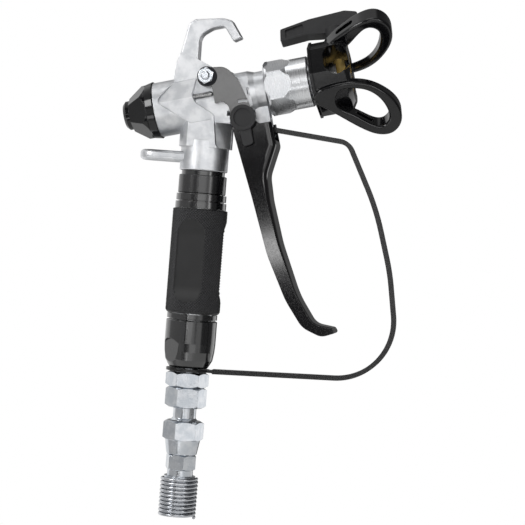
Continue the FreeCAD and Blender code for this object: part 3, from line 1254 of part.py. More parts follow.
def palm_flat():
    """Cutter for one smooth inset: flat in the middle, running out at both ends."""
    middle = (GRIP_START + GRIP_END) / 2
    depth = GRIP_RADIUS - PALM_FLAT_DEPTH
    half = PALM_FLAT_LENGTH / 2
    corner = half + PALM_RUNOUT / 2
    far = half + 2 * PALM_RUNOUT
    top = depth + 3 * PALM_FLAT_DEPTH
    run_radius = PALM_RUNOUT ** 2 / (2 * PALM_FLAT_DEPTH)
    corners = [(middle - far, top, 0), (middle - corner, depth, run_radius),
               (middle + corner, depth, run_radius), (middle + far, top, 0)]
    return centred_plate(corners, GRIP_RADIUS)


def grip_sleeve():
    """Knurled sleeve with smooth insets for the palm."""
    sleeve = turned([(GRIP_START, TUBE_RADIUS + SEAT_GAP), (GRIP_END, TUBE_RADIUS + SEAT_GAP),
                     (GRIP_END, GRIP_RADIUS - GRIP_END_BEVEL), (GRIP_END - GRIP_END_BEVEL, GRIP_RADIUS),
                     (GRIP_START + GRIP_END_BEVEL, GRIP_RADIUS), (GRIP_START, GRIP_RADIUS - GRIP_END_BEVEL)])
    for index in range(PALM_COUNT):
        cutter = palm_flat()
        cutter.rotate(V(0, 0, 0), V(1, 0, 0), PALM_ROLL + 360 * index / PALM_COUNT)
        sleeve = sleeve.cut(cutter)
    return down_handle(sleeve)


def lower_ring():
    """Retaining ring under the grip."""
    bore = TUBE_RADIUS + SEAT_GAP
    return down_handle(turned([(LOWER_RING_START, bore), (BELL_START - 0.1, bore),
                               (BELL_START - 0.1, LOWER_GROOVE_RADIUS), (LOWER_RING_END, LOWER_GROOVE_RADIUS),
                               (LOWER_RING_END, LOWER_RING_RADIUS), (LOWER_RING_START, LOWER_RING_RADIUS)]))


def end_bell():
    """Bell-shaped lower end of the handle, with spanner flats and the inlet thread."""
    bore = TUBE_RADIUS + SEAT_GAP
    inlet = STEM_THREAD_RADIUS + SEAT_GAP
    shell = turned([(BELL_START, bore), (TUBE_END + 0.5, bore), (TUBE_END + 0.5, inlet), (BELL_END, inlet),
                    (BELL_END, BELL_FOOT_RADIUS - 0.8), (BELL_END - 0.8, BELL_FOOT_RADIUS),
                    (BELL_TAPER + 10.0, BELL_RADIUS - 1.1), (BELL_TAPER + 5.0, BELL_RADIUS - 0.3),
                    (BELL_TAPER, BELL_RADIUS), (BELL_START + 0.5, BELL_RADIUS),
                    (BELL_START, BELL_RADIUS - 0.5)])
    for side in (0, 180):
        block = Part.makeBox(BELL_FLAT_END - BELL_FLAT_START, 40, 10,
                             V(BELL_FLAT_START, -20, BELL_FLATS / 2))
        arch = Part.makeCylinder(BELL_FLAT_ARCH, 10,
                                 V(BELL_FLAT_START + BELL_FLAT_ARCH, 0, BELL_FLATS / 2), V(0, 0, 1))
        block = block.common(arch)
        block.rotate(V(0, 0, 0), V(1, 0, 0), side + 135)
        shell = shell.cut(block)
    return down_handle(shell)


def filter_core():
    """Perforated tube that backs the filter screen."""
    core = ring(CORE_START, CORE_END, CORE_RADIUS, CORE_BORE_RADIUS)
    rows = 6
    spacing = (CORE_END - CORE_START - 12.0) / rows
    for row in range(rows):
        centre = CORE_START + 6.0 + spacing * (row + 0.5)
        for turn in (0, 60, 120):
            hole = Part.makeCylinder(1.4, 20, V(centre, 0, -10), V(0, 0, 1))
            hole.rotate(V(0, 0, 0), V(1, 0, 0), turn + 30 * (row % 2))
            core = core.cut(hole)
    return down_handle(core)


def filter_screen():
    """Wire-cloth sleeve, as a thin plain tube."""
    return down_handle(ring(CORE_START + 1.0, CORE_END - 1.0, SCREEN_RADIUS, SCREEN_RADIUS - SCREEN_WALL))


def filter_cap():
    """End cap that closes the filter's foot."""
    foot = CORE_END + SEAT_GAP
    return down_handle(bevelled_rod(foot, foot + FILTER_CAP_LENGTH, SCREEN_RADIUS, 0.5))


def filter_spring():
    """Spring that holds the filter up."""
    start = CORE_END + SEAT_GAP + FILTER_CAP_LENGTH + FILTER_SPRING_WIRE
    return down_handle(coil(start, FILTER_SPRING_COIL_RADIUS, FILTER_SPRING_PITCH, FILTER_SPRING_TURNS,
                            FILTER_SPRING_WIRE, "filter_spring"))


def handle_seals():
    """Face seals at the tube's two ends."""
    top = ring(TUBE_SPIGOT_START - 1.6, TUBE_SPIGOT_START, SOCKET_THREAD_RADIUS - 0.2, TUBE_BORE_RADIUS - 1.2)
    foot = ring(TUBE_END, TUBE_END + 0.45, TUBE_RADIUS - 0.2, TUBE_BORE_RADIUS)
    return Part.makeCompound([down_handle(top), down_handle(foot)])


# Swivel and hose end

def jam_nut():
    """Nut that clamps the trigger guard's eye against the bell."""
    end = JAM_NUT_START + JAM_NUT_LENGTH
    nut = hexagon(JAM_NUT_FLATS, JAM_NUT_START, end, JAM_NUT_ROLL)
    return down_handle(nut.cut(rod(JAM_NUT_START - 1, end + 1, STEM_THREAD_RADIUS + SEAT_GAP)))


def swivel_stem():
    """Inlet stem: thread, hexagon, bare neck and the tail that the swivel turns on."""
    thread = rod(STEM_START, STEM_HEX_START + 1, STEM_THREAD_RADIUS)
    stock = hexagon(STEM_HEX_FLATS, STEM_HEX_START, STEM_HEX_END, STEM_HEX_ROLL)
    tail = turned([(STEM_HEX_END - 1, 0), (STEM_TAIL_END, 0), (STEM_TAIL_END, STEM_TAIL_RADIUS - 0.6),
                   (STEM_TAIL_END - 0.6, STEM_TAIL_RADIUS),
                   (STEM_NECK_END + STEM_FLARE_LENGTH, STEM_TAIL_RADIUS),
                   (STEM_NECK_END + STEM_FLARE_LENGTH, STEM_FLARE_RADIUS),
                   (STEM_NECK_END, STEM_THREAD_RADIUS), (STEM_HEX_END - 1, STEM_THREAD_RADIUS)])
    stem = thread.multiFuse([stock, tail])
    stem = stem.cut(rod(STEM_START - 1, STEM_TAIL_END + 1, STEM_BORE_RADIUS))
    groove = ring(RETAINER_START - SEAT_GAP, RETAINER_START + RETAINER_THICKNESS + SEAT_GAP,
                  STEM_TAIL_RADIUS + 1, RETAINER_GROOVE_RADIUS)
    stem = stem.cut(groove)
    for centre in swivel_seal_places():
        stem = stem.cut(ring(centre - 1.1, centre + 1.1, STEM_TAIL_RADIUS + 1, seal_floor()))
    return down_handle(stem)


def seal_floor():
    """Radius of the stem's seal grooves."""
    return STEM_TAIL_RADIUS - 2 * SEAL_WIRE_RADIUS + SEAL_BITE


def swivel_seal_places():
    """Two seals, spaced along the bearing."""
    return (SWIVEL_START + 2.6, SWIVEL_START + 6.6)


def swivel_seals():
    """Two rubber rings in the stem's grooves."""
    middle = seal_floor() + SEAL_WIRE_RADIUS
    return Part.makeCompound([down_handle(seal_ring(centre, middle, SEAL_WIRE_RADIUS - SEAL_BITE))
                              for centre in swivel_seal_places()])


def swivel_ring():
    """Retaining ring on the stem, with its gap."""
    clip = ring(RETAINER_START, RETAINER_START + RETAINER_THICKNESS, RETAINER_RADIUS,
                RETAINER_GROOVE_RADIUS + SEAT_GAP)
    gap = Part.makeBox(4, 3, 12, V(RETAINER_START - 1, -1.5, 0))
    return down_handle(clip.cut(gap))


def swivel_body():
    """Turning half of the swivel: hexagon, cone, bearing bore and retainer room."""
    stock = hexagon(SWIVEL_HEX_FLATS, SWIVEL_START, SWIVEL_HEX_END, SWIVEL_HEX_ROLL)
    cone = turned([(SWIVEL_HEX_END - 1, 0), (SWIVEL_END, 0), (SWIVEL_END, SWIVEL_CONE_FOOT - 0.4),
                   (SWIVEL_END - 0.4, SWIVEL_CONE_FOOT), (SWIVEL_HEX_END - 1, SWIVEL_CONE_TOP)])
    body = stock.fuse(cone)
    spigot_room = SWIVEL_END - HOSE_SPIGOT_LENGTH - 0.3
    body = body.cut(rod(SWIVEL_START - 1, SWIVEL_CAVITY_START, STEM_TAIL_RADIUS + RUNNING_GAP))
    body = body.cut(rod(SWIVEL_CAVITY_START, spigot_room, SWIVEL_CAVITY_RADIUS))
    body = body.cut(rod(spigot_room - 1, SWIVEL_END + 1, HOSE_SPIGOT_RADIUS + SEAT_GAP))
    return down_handle(body)


def hose_fitting():
    """Hose fitting: spigot, hexagon, shoulder and the tail the hose is pushed on."""
    stock = hexagon(HOSE_HEX_FLATS, HOSE_HEX_START, HOSE_HEX_END, HOSE_HEX_ROLL)
    core = turned([(HOSE_HEX_START - HOSE_SPIGOT_LENGTH, 0), (TAIL_END, 0), (TAIL_END, TAIL_RADIUS - 0.5),
                   (TAIL_END - 0.5, TAIL_RADIUS), (HOSE_NECK_END + TAIL_ROOT_LENGTH, TAIL_RADIUS),
                   (HOSE_NECK_END + TAIL_ROOT_LENGTH, TAIL_ROOT_RADIUS), (HOSE_NECK_END, TAIL_ROOT_RADIUS),
                   (HOSE_NECK_END, HOSE_NECK_RADIUS), (HOSE_HEX_END - 1, HOSE_NECK_RADIUS),
                   (HOSE_HEX_END - 1, HOSE_SPIGOT_RADIUS), (HOSE_HEX_START - HOSE_SPIGOT_LENGTH, HOSE_SPIGOT_RADIUS)])
    fitting = stock.fuse(core)
    return down_handle(fitting.cut(rod(HOSE_HEX_START - 10, TAIL_END + 1, TAIL_BORE_RADIUS)))


def hose_ferrule():
    """Crimp sleeve over the tail, held by its turned-in top."""
    end = TAIL_END + 4.0
    start = HOSE_NECK_END + SEAT_GAP
    lip = TAIL_ROOT_RADIUS + SEAT_GAP
    return down_handle(turned([(start, lip), (start + FERRULE_LIP, lip),
                               (start + FERRULE_LIP, FERRULE_RADIUS - FERRULE_WALL),
                               (end, FERRULE_RADIUS - FERRULE_WALL),
                               (end, FERRULE_RADIUS), (start, FERRULE_RADIUS)]))


def spring_guard():
    """Close-wound bend guard over the hose end."""
    start = HOSE_NECK_END + GUARD_WIRE / 2 + 0.2
    return down_handle(coil(start, GUARD_COIL_RADIUS, GUARD_PITCH, GUARD_TURNS, GUARD_WIRE, "spring_guard"))


PIECES = [gun_body, rear_cap, cap_seal, needle_carrier, needle_rod, needle_ball, needle_nut, push_pins,
          needle_spring, packing_nut, needle_packing, front_housing, seat_gasket, diffuser, valve_seat,
          guard_nut, tip_guard, tip_gasket, tip_seal, tip_barrel, tip_carbide, tip_handle,
          trigger, pivot_bolt, pivot_nut, pivot_washers, lock_spindle, lock_knobs,
          trigger_guard, guard_screw,
          handle_tube, handle_collar, rating_ring, grip_sleeve, lower_ring, end_bell,
          filter_core, filter_screen, filter_cap, filter_spring, handle_seals,
          jam_nut, swivel_stem, swivel_seals, swivel_ring, swivel_body, hose_fitting, hose_ferrule,
          spring_guard]

os.makedirs("parts", exist_ok=True)
for make in PIECES:
    piece = make()
    piece.translate(V(-HOOK_SEAT_X, 0, -HOOK_SEAT_Z))
    piece.exportStep("parts/" + make.__name__ + ".step")
    print(make.__name__, "solids", len(piece.Solids), "volume", round(piece.Volume, 1), piece.isValid())
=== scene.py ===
"""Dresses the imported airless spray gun: finishes, knurling, bend guard, floor, light and camera.

Sizes are millimetres in the gun's drawing frame: X forward along the barrel, Z up, Y to the far
side, zero where the barrel and handle axes meet. place() turns them to metres in the row frame.
"""

import json
import logging
import math
from dataclasses import dataclass, field
from enum import Enum
from typing import Any, Iterable, Optional

import bmesh
import bpy
from mathutils import Matrix, Vector

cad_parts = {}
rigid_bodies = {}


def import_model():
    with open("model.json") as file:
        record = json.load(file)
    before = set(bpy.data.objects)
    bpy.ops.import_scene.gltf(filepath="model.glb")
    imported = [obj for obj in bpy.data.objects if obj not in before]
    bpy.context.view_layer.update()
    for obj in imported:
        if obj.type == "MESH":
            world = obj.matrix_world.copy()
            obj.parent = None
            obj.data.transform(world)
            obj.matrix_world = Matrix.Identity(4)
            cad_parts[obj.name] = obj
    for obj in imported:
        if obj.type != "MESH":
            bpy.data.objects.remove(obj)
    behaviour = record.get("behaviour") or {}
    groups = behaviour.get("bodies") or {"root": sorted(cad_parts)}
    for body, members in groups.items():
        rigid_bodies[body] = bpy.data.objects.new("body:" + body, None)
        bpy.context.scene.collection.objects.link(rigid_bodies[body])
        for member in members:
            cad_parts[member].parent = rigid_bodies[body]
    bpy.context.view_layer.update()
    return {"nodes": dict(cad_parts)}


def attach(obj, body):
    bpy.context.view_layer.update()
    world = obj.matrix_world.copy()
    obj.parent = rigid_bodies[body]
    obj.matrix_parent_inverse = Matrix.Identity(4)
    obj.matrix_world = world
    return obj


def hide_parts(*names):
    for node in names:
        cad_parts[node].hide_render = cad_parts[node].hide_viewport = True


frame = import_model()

LOG = logging.getLogger("spray_gun")

HOOK_SEAT = Vector((11.1, 0.0, 41.6))
HANDLE_RAKE = math.radians(14.3)
HANDLE_WAY = Vector((-math.sin(HANDLE_RAKE), 0.0, -math.cos(HANDLE_RAKE)))
HANDLE_FRONT = Vector((math.cos(HANDLE_RAKE), 0.0, -math.sin(HANDLE_RAKE)))
HANDLE_SIDE = HANDLE_WAY.cross(HANDLE_FRONT)
HANDLE_TURN = Matrix((HANDLE_FRONT, HANDLE_SIDE, HANDLE_WAY)).transposed().to_euler()
TIP_LEAN = math.radians(26.0)
TIP_WAY = Vector((0.0, math.sin(TIP_LEAN), math.cos(TIP_LEAN)))
MM = 0.001

# Windows of the noise and of the edge angle's cosine over which a finish changes
PATCH_WINDOW = (0.35, 0.65)
GRAIN_WINDOW = (0.3, 0.7)
EDGE_WINDOW = (0.999, 0.93)
COAT_ROUGHNESS = 0.06
WHITE = (1, 1, 1, 1)


def place(x: float, y: float, z: float) -> Vector:
    """Row-frame metres of a drawing-frame point in millimetres."""
    return (Vector((x, y, z)) - HOOK_SEAT) * MM


def linear(colour: str) -> tuple[float, float, float, float]:
    """Turn an sRGB hex colour into the linear values that the shaders take.

    Args:
        colour: Six hex digits, with or without a leading hash.

    Returns:
        Red, green, blue and a full alpha.
    """
    digits = colour.lstrip("#")
    parts = []
    for start in (0, 2, 4):
        value = int(digits[start:start + 2], 16) / 255
        parts.append(value / 12.92 if value <= 0.04045 else ((value + 0.055) / 1.055) ** 2.4)
    return parts[0], parts[1], parts[2], 1.0


def add_node(tree: bpy.types.NodeTree, kind: str, settings: Optional[dict[str, Any]] = None,
             inputs: Optional[dict[Any, Any]] = None) -> bpy.types.Node:
    """Add one node with its settings, values and links.

    Args:
        tree: The material, world or geometry tree.
        kind: The node's type name.
        settings: Attributes to set on the node.
        inputs: Input socket names or numbers, each with a plain value or the output that feeds it.

    Returns:
        The new node.
    """
    node = tree.nodes.new(kind)
    for name, value in (settings or {}).items():
        setattr(node, name, value)
    for key, value in (inputs or {}).items():
        if isinstance(value, bpy.types.NodeSocket):
            tree.links.new(value, node.inputs[key])
        else:
            node.inputs[key].default_value = value
    return node


class Axis(Enum):
    """Lines that turned finishes run round, each a point and a way in the row frame."""

    BARREL = (place(0, 0, 0), Vector((1, 0, 0)))
    HANDLE = (place(0, 0, 0), HANDLE_WAY)
    PIVOT = (place(3.4, 0, 12.8), Vector((0, 1, 0)))
    TIP = (place(81.2, 0, 0), TIP_WAY)


class Texture(Enum):
    """How a surface was made."""

    CAST = "tumbled casting"
    TURNED = "turned"
    MOULDED = "moulded"
    PLATED = "plated"
    COATED = "sprayed coat"


@dataclass(frozen=True)
class Finish:
    """One real finish and the material that shows it.

    Attributes:
        name: The finish in a maker's words.
        slot: The record's material slot; not used.
        colour: Main sRGB colour.
        second: Colour that the patches lean to.
        metallic: 1 for bare metal, 0 for plastic, rubber and paint.
        roughness: Lowest and highest roughness over the grain.
        texture: How the surface was made.
        grain_mm: Size of the fine grain.
        relief_mm: Height of the fine grain.
        patch_mm: Size of the soft patches.
        patch_relief_mm: Height of the soft waves that reflections show.
        edge_mm: Radius that edges look broken to.
        worn: Colour that edges wear to.
        wear: How strongly they do.
        coat: Clear gloss over the top.
        ior: Refractive index of the surface; metal keeps the default.
        axis: Line that a turned surface runs round.
    """

    name: str
    slot: str
    colour: str
    second: str
    metallic: float
    roughness: tuple[float, float]
    texture: Texture
    grain_mm: float
    relief_mm: float
    patch_mm: float = 9.0
    patch_relief_mm: float = 0.0
    edge_mm: float = 0.25
    worn: str = "#FFFFFF"
    wear: float = 0.0
    coat: float = 0.0
    ior: float = 1.5
    axis: Axis = Axis.BARREL

    def grain(self, tree: bpy.types.NodeTree, where: bpy.types.NodeSocket) -> bpy.types.NodeSocket:
        """Fine grain of the surface, from 0 to 1.

        Args:
            tree: The material's tree.
            where: Object coordinates.

        Returns:
            The grain's output.
        """
        if self.texture is not Texture.TURNED:
            detail = 4.0 if self.texture is Texture.CAST else 2.0
            noise = add_node(tree, "ShaderNodeTexNoise", inputs={
                "Vector": where, "Scale": 1 / (self.grain_mm * MM), "Detail": detail,
                "Roughness": 0.55})
            return noise.outputs["Fac"]
        start, way = self.axis.value
        from_start = add_node(tree, "ShaderNodeVectorMath", {"operation": "SUBTRACT"},
                              {0: where, 1: start})
        along = add_node(tree, "ShaderNodeVectorMath", {"operation": "DOT_PRODUCT"},
                         {0: from_start.outputs[0], 1: way})
        on_axis = add_node(tree, "ShaderNodeVectorMath", {"operation": "SCALE"},
                           {0: way, "Scale": along.outputs["Value"]})
        outward = add_node(tree, "ShaderNodeVectorMath", {"operation": "DISTANCE"},
                           {0: from_start.outputs[0], 1: on_axis.outputs[0]})
        feed = add_node(tree, "ShaderNodeMath", {"operation": "ADD"},
                        {0: along.outputs["Value"], 1: outward.outputs["Value"]})
        lines = add_node(tree, "ShaderNodeTexNoise", {"noise_dimensions": "1D"}, {
            "W": feed.outputs[0], "Scale": 1 / (self.grain_mm * MM), "Detail": 3.0,
            "Roughness": 0.6})
        return lines.outputs["Fac"]

    def build(self) -> bpy.types.Material:
        """Make the material.

        Returns:
            The Blender material.
        """
        material = bpy.data.materials.new(self.name)
        material.use_nodes = True
        tree = material.node_tree
        tree.nodes.clear()
        where = add_node(tree, "ShaderNodeTexCoord").outputs["Object"]
        grain = self.grain(tree, where)
        patches = add_node(tree, "ShaderNodeTexNoise", inputs={
            "Vector": where, "Scale": 1 / (self.patch_mm * MM), "Detail": 3.0,
            "Roughness": 0.5}).outputs["Fac"]
        tone = add_node(tree, "ShaderNodeMapRange", {"interpolation_type": "SMOOTHSTEP"}, {
            "Value": patches, "From Min": PATCH_WINDOW[0], "From Max": PATCH_WINDOW[1],
            "To Min": 0.0, "To Max": 1.0})
        colour = add_node(tree, "ShaderNodeMix", {"data_type": "RGBA"}, {
            "Factor": tone.outputs[0], 6: linear(self.colour), 7: linear(self.second)})
        rounded = add_node(tree, "ShaderNodeBevel", {"samples": 4}, {"Radius": self.edge_mm * MM})
        base = colour.outputs[2]
        if self.wear > 0:
            plain = add_node(tree, "ShaderNodeNewGeometry")
            same = add_node(tree, "ShaderNodeVectorMath", {"operation": "DOT_PRODUCT"},
                            {0: rounded.outputs[0], 1: plain.outputs["Normal"]})
            edge = add_node(tree, "ShaderNodeMapRange", inputs={
                "Value": same.outputs["Value"], "From Min": EDGE_WINDOW[0],
                "From Max": EDGE_WINDOW[1], "To Min": 0.0, "To Max": self.wear})
            patchy = add_node(tree, "ShaderNodeMath", {"operation": "MULTIPLY"},
                              {0: edge.outputs[0], 1: grain})
            base = add_node(tree, "ShaderNodeMix", {"data_type": "RGBA"}, {
                "Factor": patchy.outputs[0], 6: base, 7: linear(self.worn)}).outputs[2]
        low, high = self.roughness
        rough = add_node(tree, "ShaderNodeMapRange", inputs={
            "Value": grain, "From Min": GRAIN_WINDOW[0], "From Max": GRAIN_WINDOW[1],
            "To Min": low, "To Max": high})
        normal = add_node(tree, "ShaderNodeBump", inputs={
            "Strength": 1.0, "Distance": self.relief_mm * MM, "Height": grain,
            "Normal": rounded.outputs[0]})
        if self.patch_relief_mm > 0:
            normal = add_node(tree, "ShaderNodeBump", inputs={
                "Strength": 1.0, "Distance": self.patch_relief_mm * MM, "Height": patches,
                "Normal": normal.outputs[0]})
        shader = add_node(tree, "ShaderNodeBsdfPrincipled", inputs={
            "Base Color": base, "Metallic": self.metallic, "Roughness": rough.outputs[0],
            "IOR": self.ior, "Coat Weight": self.coat, "Coat Roughness": COAT_ROUGHNESS,
            "Normal": normal.outputs[0]})
        add_node(tree, "ShaderNodeOutputMaterial", inputs={"Surface": shader.outputs[0]})
        return material


# Aluminium-silicon die casting after vibratory tumbling: bright, softly mottled, edges polished
# first.
CAST = Finish("aluminium_die_cast_tumbled", "cast_aluminium", "#E4E5E7", "#CDCFD2", 1.0,
              (0.34, 0.48), Texture.CAST, 0.55, 0.010, patch_mm=7.0, patch_relief_mm=0.02,
              edge_mm=0.45, worn="#F4F4F5", wear=0.8)
# Turned aluminium: brighter than the casting, with fine rings that stretch highlights along the
# barrel.
TURNED = Finish("aluminium_turned_bright", "machined_aluminium", "#E2E3E5", "#D2D4D7", 1.0,
                (0.24, 0.36), Texture.TURNED, 0.35, 0.003, patch_mm=14.0, patch_relief_mm=0.02,
                edge_mm=0.4, worn="#F6F6F7", wear=0.6)
# Glass-filled nylon from a polished mould: near black, glossy, with a soft ripple.
GLOSS_NYLON = Finish("nylon_moulded_gloss_black", "black_gloss_nylon", "#0B0B0D", "#0F0F11", 0.0,
                     (0.08, 0.14), Texture.MOULDED, 0.5, 0.002, patch_mm=8.0,
                     patch_relief_mm=0.015, edge_mm=0.5, worn="#242427", wear=0.5)
# The same nylon from a spark-eroded mould: dull, finely pitted.
MATTE_NYLON = Finish("nylon_moulded_matte_black", "black_matte_nylon", "#151517", "#1A1A1C", 0.0,
                     (0.42, 0.58), Texture.MOULDED, 0.35, 0.020, patch_mm=10.0, edge_mm=0.4,
                     worn="#2C2C2F", wear=0.5)
# Black enamel baked on the cast trigger: deep gloss with a little orange peel.
ENAMEL = Finish("enamel_baked_gloss_black", "black_trigger", "#0B0A0C", "#0E0D10", 0.0,
                (0.05, 0.09), Texture.COATED, 1.1, 0.0008, patch_mm=12.0, patch_relief_mm=0.006,
                edge_mm=0.6, worn="#1D1C1F", wear=0.4, coat=0.6)
# Powder coat on the steel bar: semi-gloss with a fine peel.
POWDER = Finish("powder_coat_semi_gloss_black", "black_bar", "#0D0D0E", "#121213", 0.0,
                (0.22, 0.34), Texture.COATED, 0.8, 0.012, patch_mm=10.0, edge_mm=0.4,
                worn="#2A2A2C", wear=0.4)
# Turned aluminium, dyed black and anodised: the clear oxide skin, with the index of alumina, gives
# it crisp bright bands.
ANODISED = Finish("aluminium_anodised_gloss_black", "black_anodised", "#0E0E10", "#131315", 0.0,
                  (0.12, 0.20), Texture.TURNED, 0.3, 0.002, patch_mm=12.0, edge_mm=0.35,
                  worn="#3A3A3D", wear=0.4, coat=0.5, ior=1.76, axis=Axis.HANDLE)
# The bare ring between the collars: the same skin, a little duller and without edge wear.
BARE_RING = Finish("aluminium_anodised_bare_ring", "black_ring", "#121214", "#171719", 0.0,
                   (0.16, 0.24), Texture.TURNED, 0.3, 0.002, patch_mm=12.0, edge_mm=0.3,
                   ior=1.76, axis=Axis.HANDLE)
# Knurled and bead-blasted grip: matte black, crests rubbed a little lighter.
KNURLED = Finish("aluminium_knurled_matte_black", "black_knurl", "#121213", "#171718", 0.1,
                 (0.46, 0.58), Texture.MOULDED, 0.3, 0.012, patch_mm=14.0, edge_mm=0.15,
                 worn="#6E6E72", wear=1.0)
# Bright zinc with blue passivate: cool, shiny, faintly clouded.
ZINC = Finish("steel_zinc_plated_blue", "zinc_steel", "#D6D9DD", "#C6CBD1", 1.0, (0.12, 0.22),
              Texture.PLATED, 0.6, 0.004, patch_mm=5.0, patch_relief_mm=0.02, edge_mm=0.3,
              worn="#EEF1F4", wear=0.5)
# Hard-drawn spring wire: bright, with drawing marks along the wire.
WIRE = Finish("steel_spring_wire_bright", "spring_steel", "#C9CBCF", "#B7BABF", 1.0, (0.18, 0.30),
              Texture.PLATED, 0.5, 0.003, patch_mm=6.0, edge_mm=0.05)
# Stainless, turned: greyer than aluminium.
STAINLESS = Finish("stainless_steel_turned", "stainless", "#B9B9B8", "#ABABAB", 1.0, (0.20, 0.32),
                   Texture.TURNED, 0.3, 0.003, patch_mm=8.0)
# Sintered tungsten carbide, ground: dark grey metal.
CARBIDE = Finish("tungsten_carbide_ground", "carbide", "#6A6A6E", "#5E5E62", 1.0, (0.25, 0.35),
                 Texture.PLATED, 0.3, 0.002, patch_mm=4.0)
# Dark oxide on the washers: nearly black, waxy.
OXIDE = Finish("steel_dark_oxide", "black_washer", "#1B1B1E", "#232327", 0.6, (0.32, 0.45),
               Texture.PLATED, 0.5, 0.004, patch_mm=4.0, edge_mm=0.2)
# Turned brass: warm yellow, fine rings.
BRASS = Finish("brass_turned", "brass", "#F6D88E", "#E8C470", 1.0, (0.40, 0.54), Texture.TURNED,
               0.35, 0.004, patch_mm=5.0, edge_mm=0.3, worn="#FBE6B4", wear=0.5, axis=Axis.TIP)
# Nitrile rubber seals: dull black.
RUBBER = Finish("nitrile_rubber", "rubber", "#171717", "#1D1D1D", 0.0, (0.55, 0.70),
                Texture.MOULDED, 0.3, 0.006)
# Sintered PTFE: waxy white.
PTFE = Finish("ptfe_white", "white_ptfe", "#E6E5E0", "#DEDDD8", 0.0, (0.40, 0.50),
              Texture.MOULDED, 0.5, 0.003)
# Woven stainless cloth, shown as its even grey.
CLOTH = Finish("stainless_wire_cloth", "screen_mesh", "#A9AAAC", "#9C9DA0", 1.0, (0.35, 0.50),
               Texture.PLATED, 0.25, 0.030)

DRESSING: dict[str, tuple[Finish, tuple[str, ...]]] = {
    "casting": (CAST, ("gun_body",)),
    "housing": (TURNED, ("front_housing", "handle_tube")),
    "gloss nylon": (GLOSS_NYLON, ("rear_cap", "guard_nut", "tip_guard")),
    "matte nylon": (MATTE_NYLON, ("tip_handle", "lock_knobs", "filter_cap")),
    "trigger": (ENAMEL, ("trigger",)),
    "bar": (POWDER, ("trigger_guard",)),
    "collars": (ANODISED, ("handle_collar", "lower_ring", "end_bell")),
    "ring": (BARE_RING, ("rating_ring",)),
    "grip": (KNURLED, ("grip_sleeve",)),
    "zinc": (ZINC, ("pivot_bolt", "pivot_nut", "guard_screw", "lock_spindle", "jam_nut",
                    "swivel_stem", "swivel_body", "hose_fitting", "hose_ferrule")),
    "wire": (WIRE, ("needle_spring", "filter_spring", "swivel_ring", "spring_guard")),
    "stainless": (STAINLESS, ("needle_carrier", "needle_rod", "needle_nut", "push_pins",
                              "packing_nut", "diffuser", "filter_core", "tip_seal")),
    "carbide": (CARBIDE, ("needle_ball", "valve_seat", "tip_carbide")),
    "washers": (OXIDE, ("pivot_washers",)),
    "brass": (BRASS, ("tip_barrel",)),
    "rubber": (RUBBER, ("cap_seal", "tip_gasket", "handle_seals", "swivel_seals")),
    "ptfe": (PTFE, ("needle_packing", "seat_gasket")),
    "cloth": (CLOTH, ("filter_screen",)),
}


@dataclass
class Palette:
    """Builds each finish once and hands it out."""

    made: dict[str, bpy.types.Material] = field(default_factory=dict)

    def get(self, finish: Finish) -> bpy.types.Material:
        """The material of a finish, built at its first use."""
        if finish.name not in self.made:
            self.made[finish.name] = finish.build()
        return self.made[finish.name]

    def dress_nodes(self) -> None:
        """Give every CAD node its finish."""
        for label, (finish, nodes) in DRESSING.items():
            for name in nodes:
                mesh = frame["nodes"][name].data
                mesh.materials.clear()
                mesh.materials.append(self.get(finish))
            LOG.info("%s: %d nodes in %s", label, len(nodes), finish.name)


@dataclass
class NodePiece:
    """A piece made by a geometry tree, which it holds until the result is a plain mesh."""

    name: str
    body: str
    finish: Finish
    palette: Palette
    tree: bpy.types.NodeTree = field(init=False)

    def __post_init__(self) -> None:
        """Start the tree with its output socket and its material input."""
        self.tree = bpy.data.node_groups.new(self.name + "_tree", "GeometryNodeTree")
        self.tree.interface.new_socket("Geometry", in_out="OUTPUT",
                                       socket_type="NodeSocketGeometry")
        self.values: dict[str, Any] = {}
        self.size("Finish", "NodeSocketMaterial", self.palette.get(self.finish))
        self.start = add_node(self.tree, "NodeGroupInput")

    def size(self, name: str, kind: str, value: Any) -> None:
        """Add one named input and note its value."""
        self.tree.interface.new_socket(name, in_out="INPUT", socket_type=kind)
        self.values[name] = value

    def lengths(self, **sizes: float) -> None:
        """Add named inputs in millimetres, kept in metres."""
        for name, value in sizes.items():
            self.size(name, "NodeSocketFloat", value * MM)

    def finished(self, shape: bpy.types.NodeSocket,
                 replaced: Iterable[str] = ()) -> bpy.types.Object:
        """End the tree, evaluate it and hand the plain mesh to its body.

        Args:
            shape: The tree's last geometry.
            replaced: CAD nodes that the piece stands for.

        Returns:
            The finished piece.
        """
        real = add_node(self.tree, "GeometryNodeRealizeInstances", inputs={"Geometry": shape})
        painted = add_node(self.tree, "GeometryNodeSetMaterial", inputs={
            "Geometry": real.outputs[0], "Material": self.start.outputs["Finish"]})
        add_node(self.tree, "NodeGroupOutput", inputs={0: painted.outputs[0]})
        empty = bpy.data.meshes.new(self.name + "_empty")
        holder = bpy.data.objects.new(self.name + "_holder", empty)
        bpy.context.scene.collection.objects.link(holder)
        modifier = holder.modifiers.new("shape", "NODES")
        modifier.node_group = self.tree
        for item in self.tree.interface.items_tree:
            if item.in_out == "INPUT" and item.name in self.values:
                modifier[item.identifier] = self.values[item.name]
        holder.update_tag()
        seen = bpy.context.evaluated_depsgraph_get()
        mesh = bpy.data.meshes.new_from_object(holder.evaluated_get(seen))
        holder.modifiers.clear()
        bpy.data.objects.remove(holder)
        piece = bpy.data.objects.new(self.name, mesh)
        bpy.context.scene.collection.objects.link(piece)
        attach(piece, self.body)
        if replaced:
            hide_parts(*replaced)
        LOG.info("%s: %d faces on %s", self.name, len(mesh.polygons), self.body)
        return piece


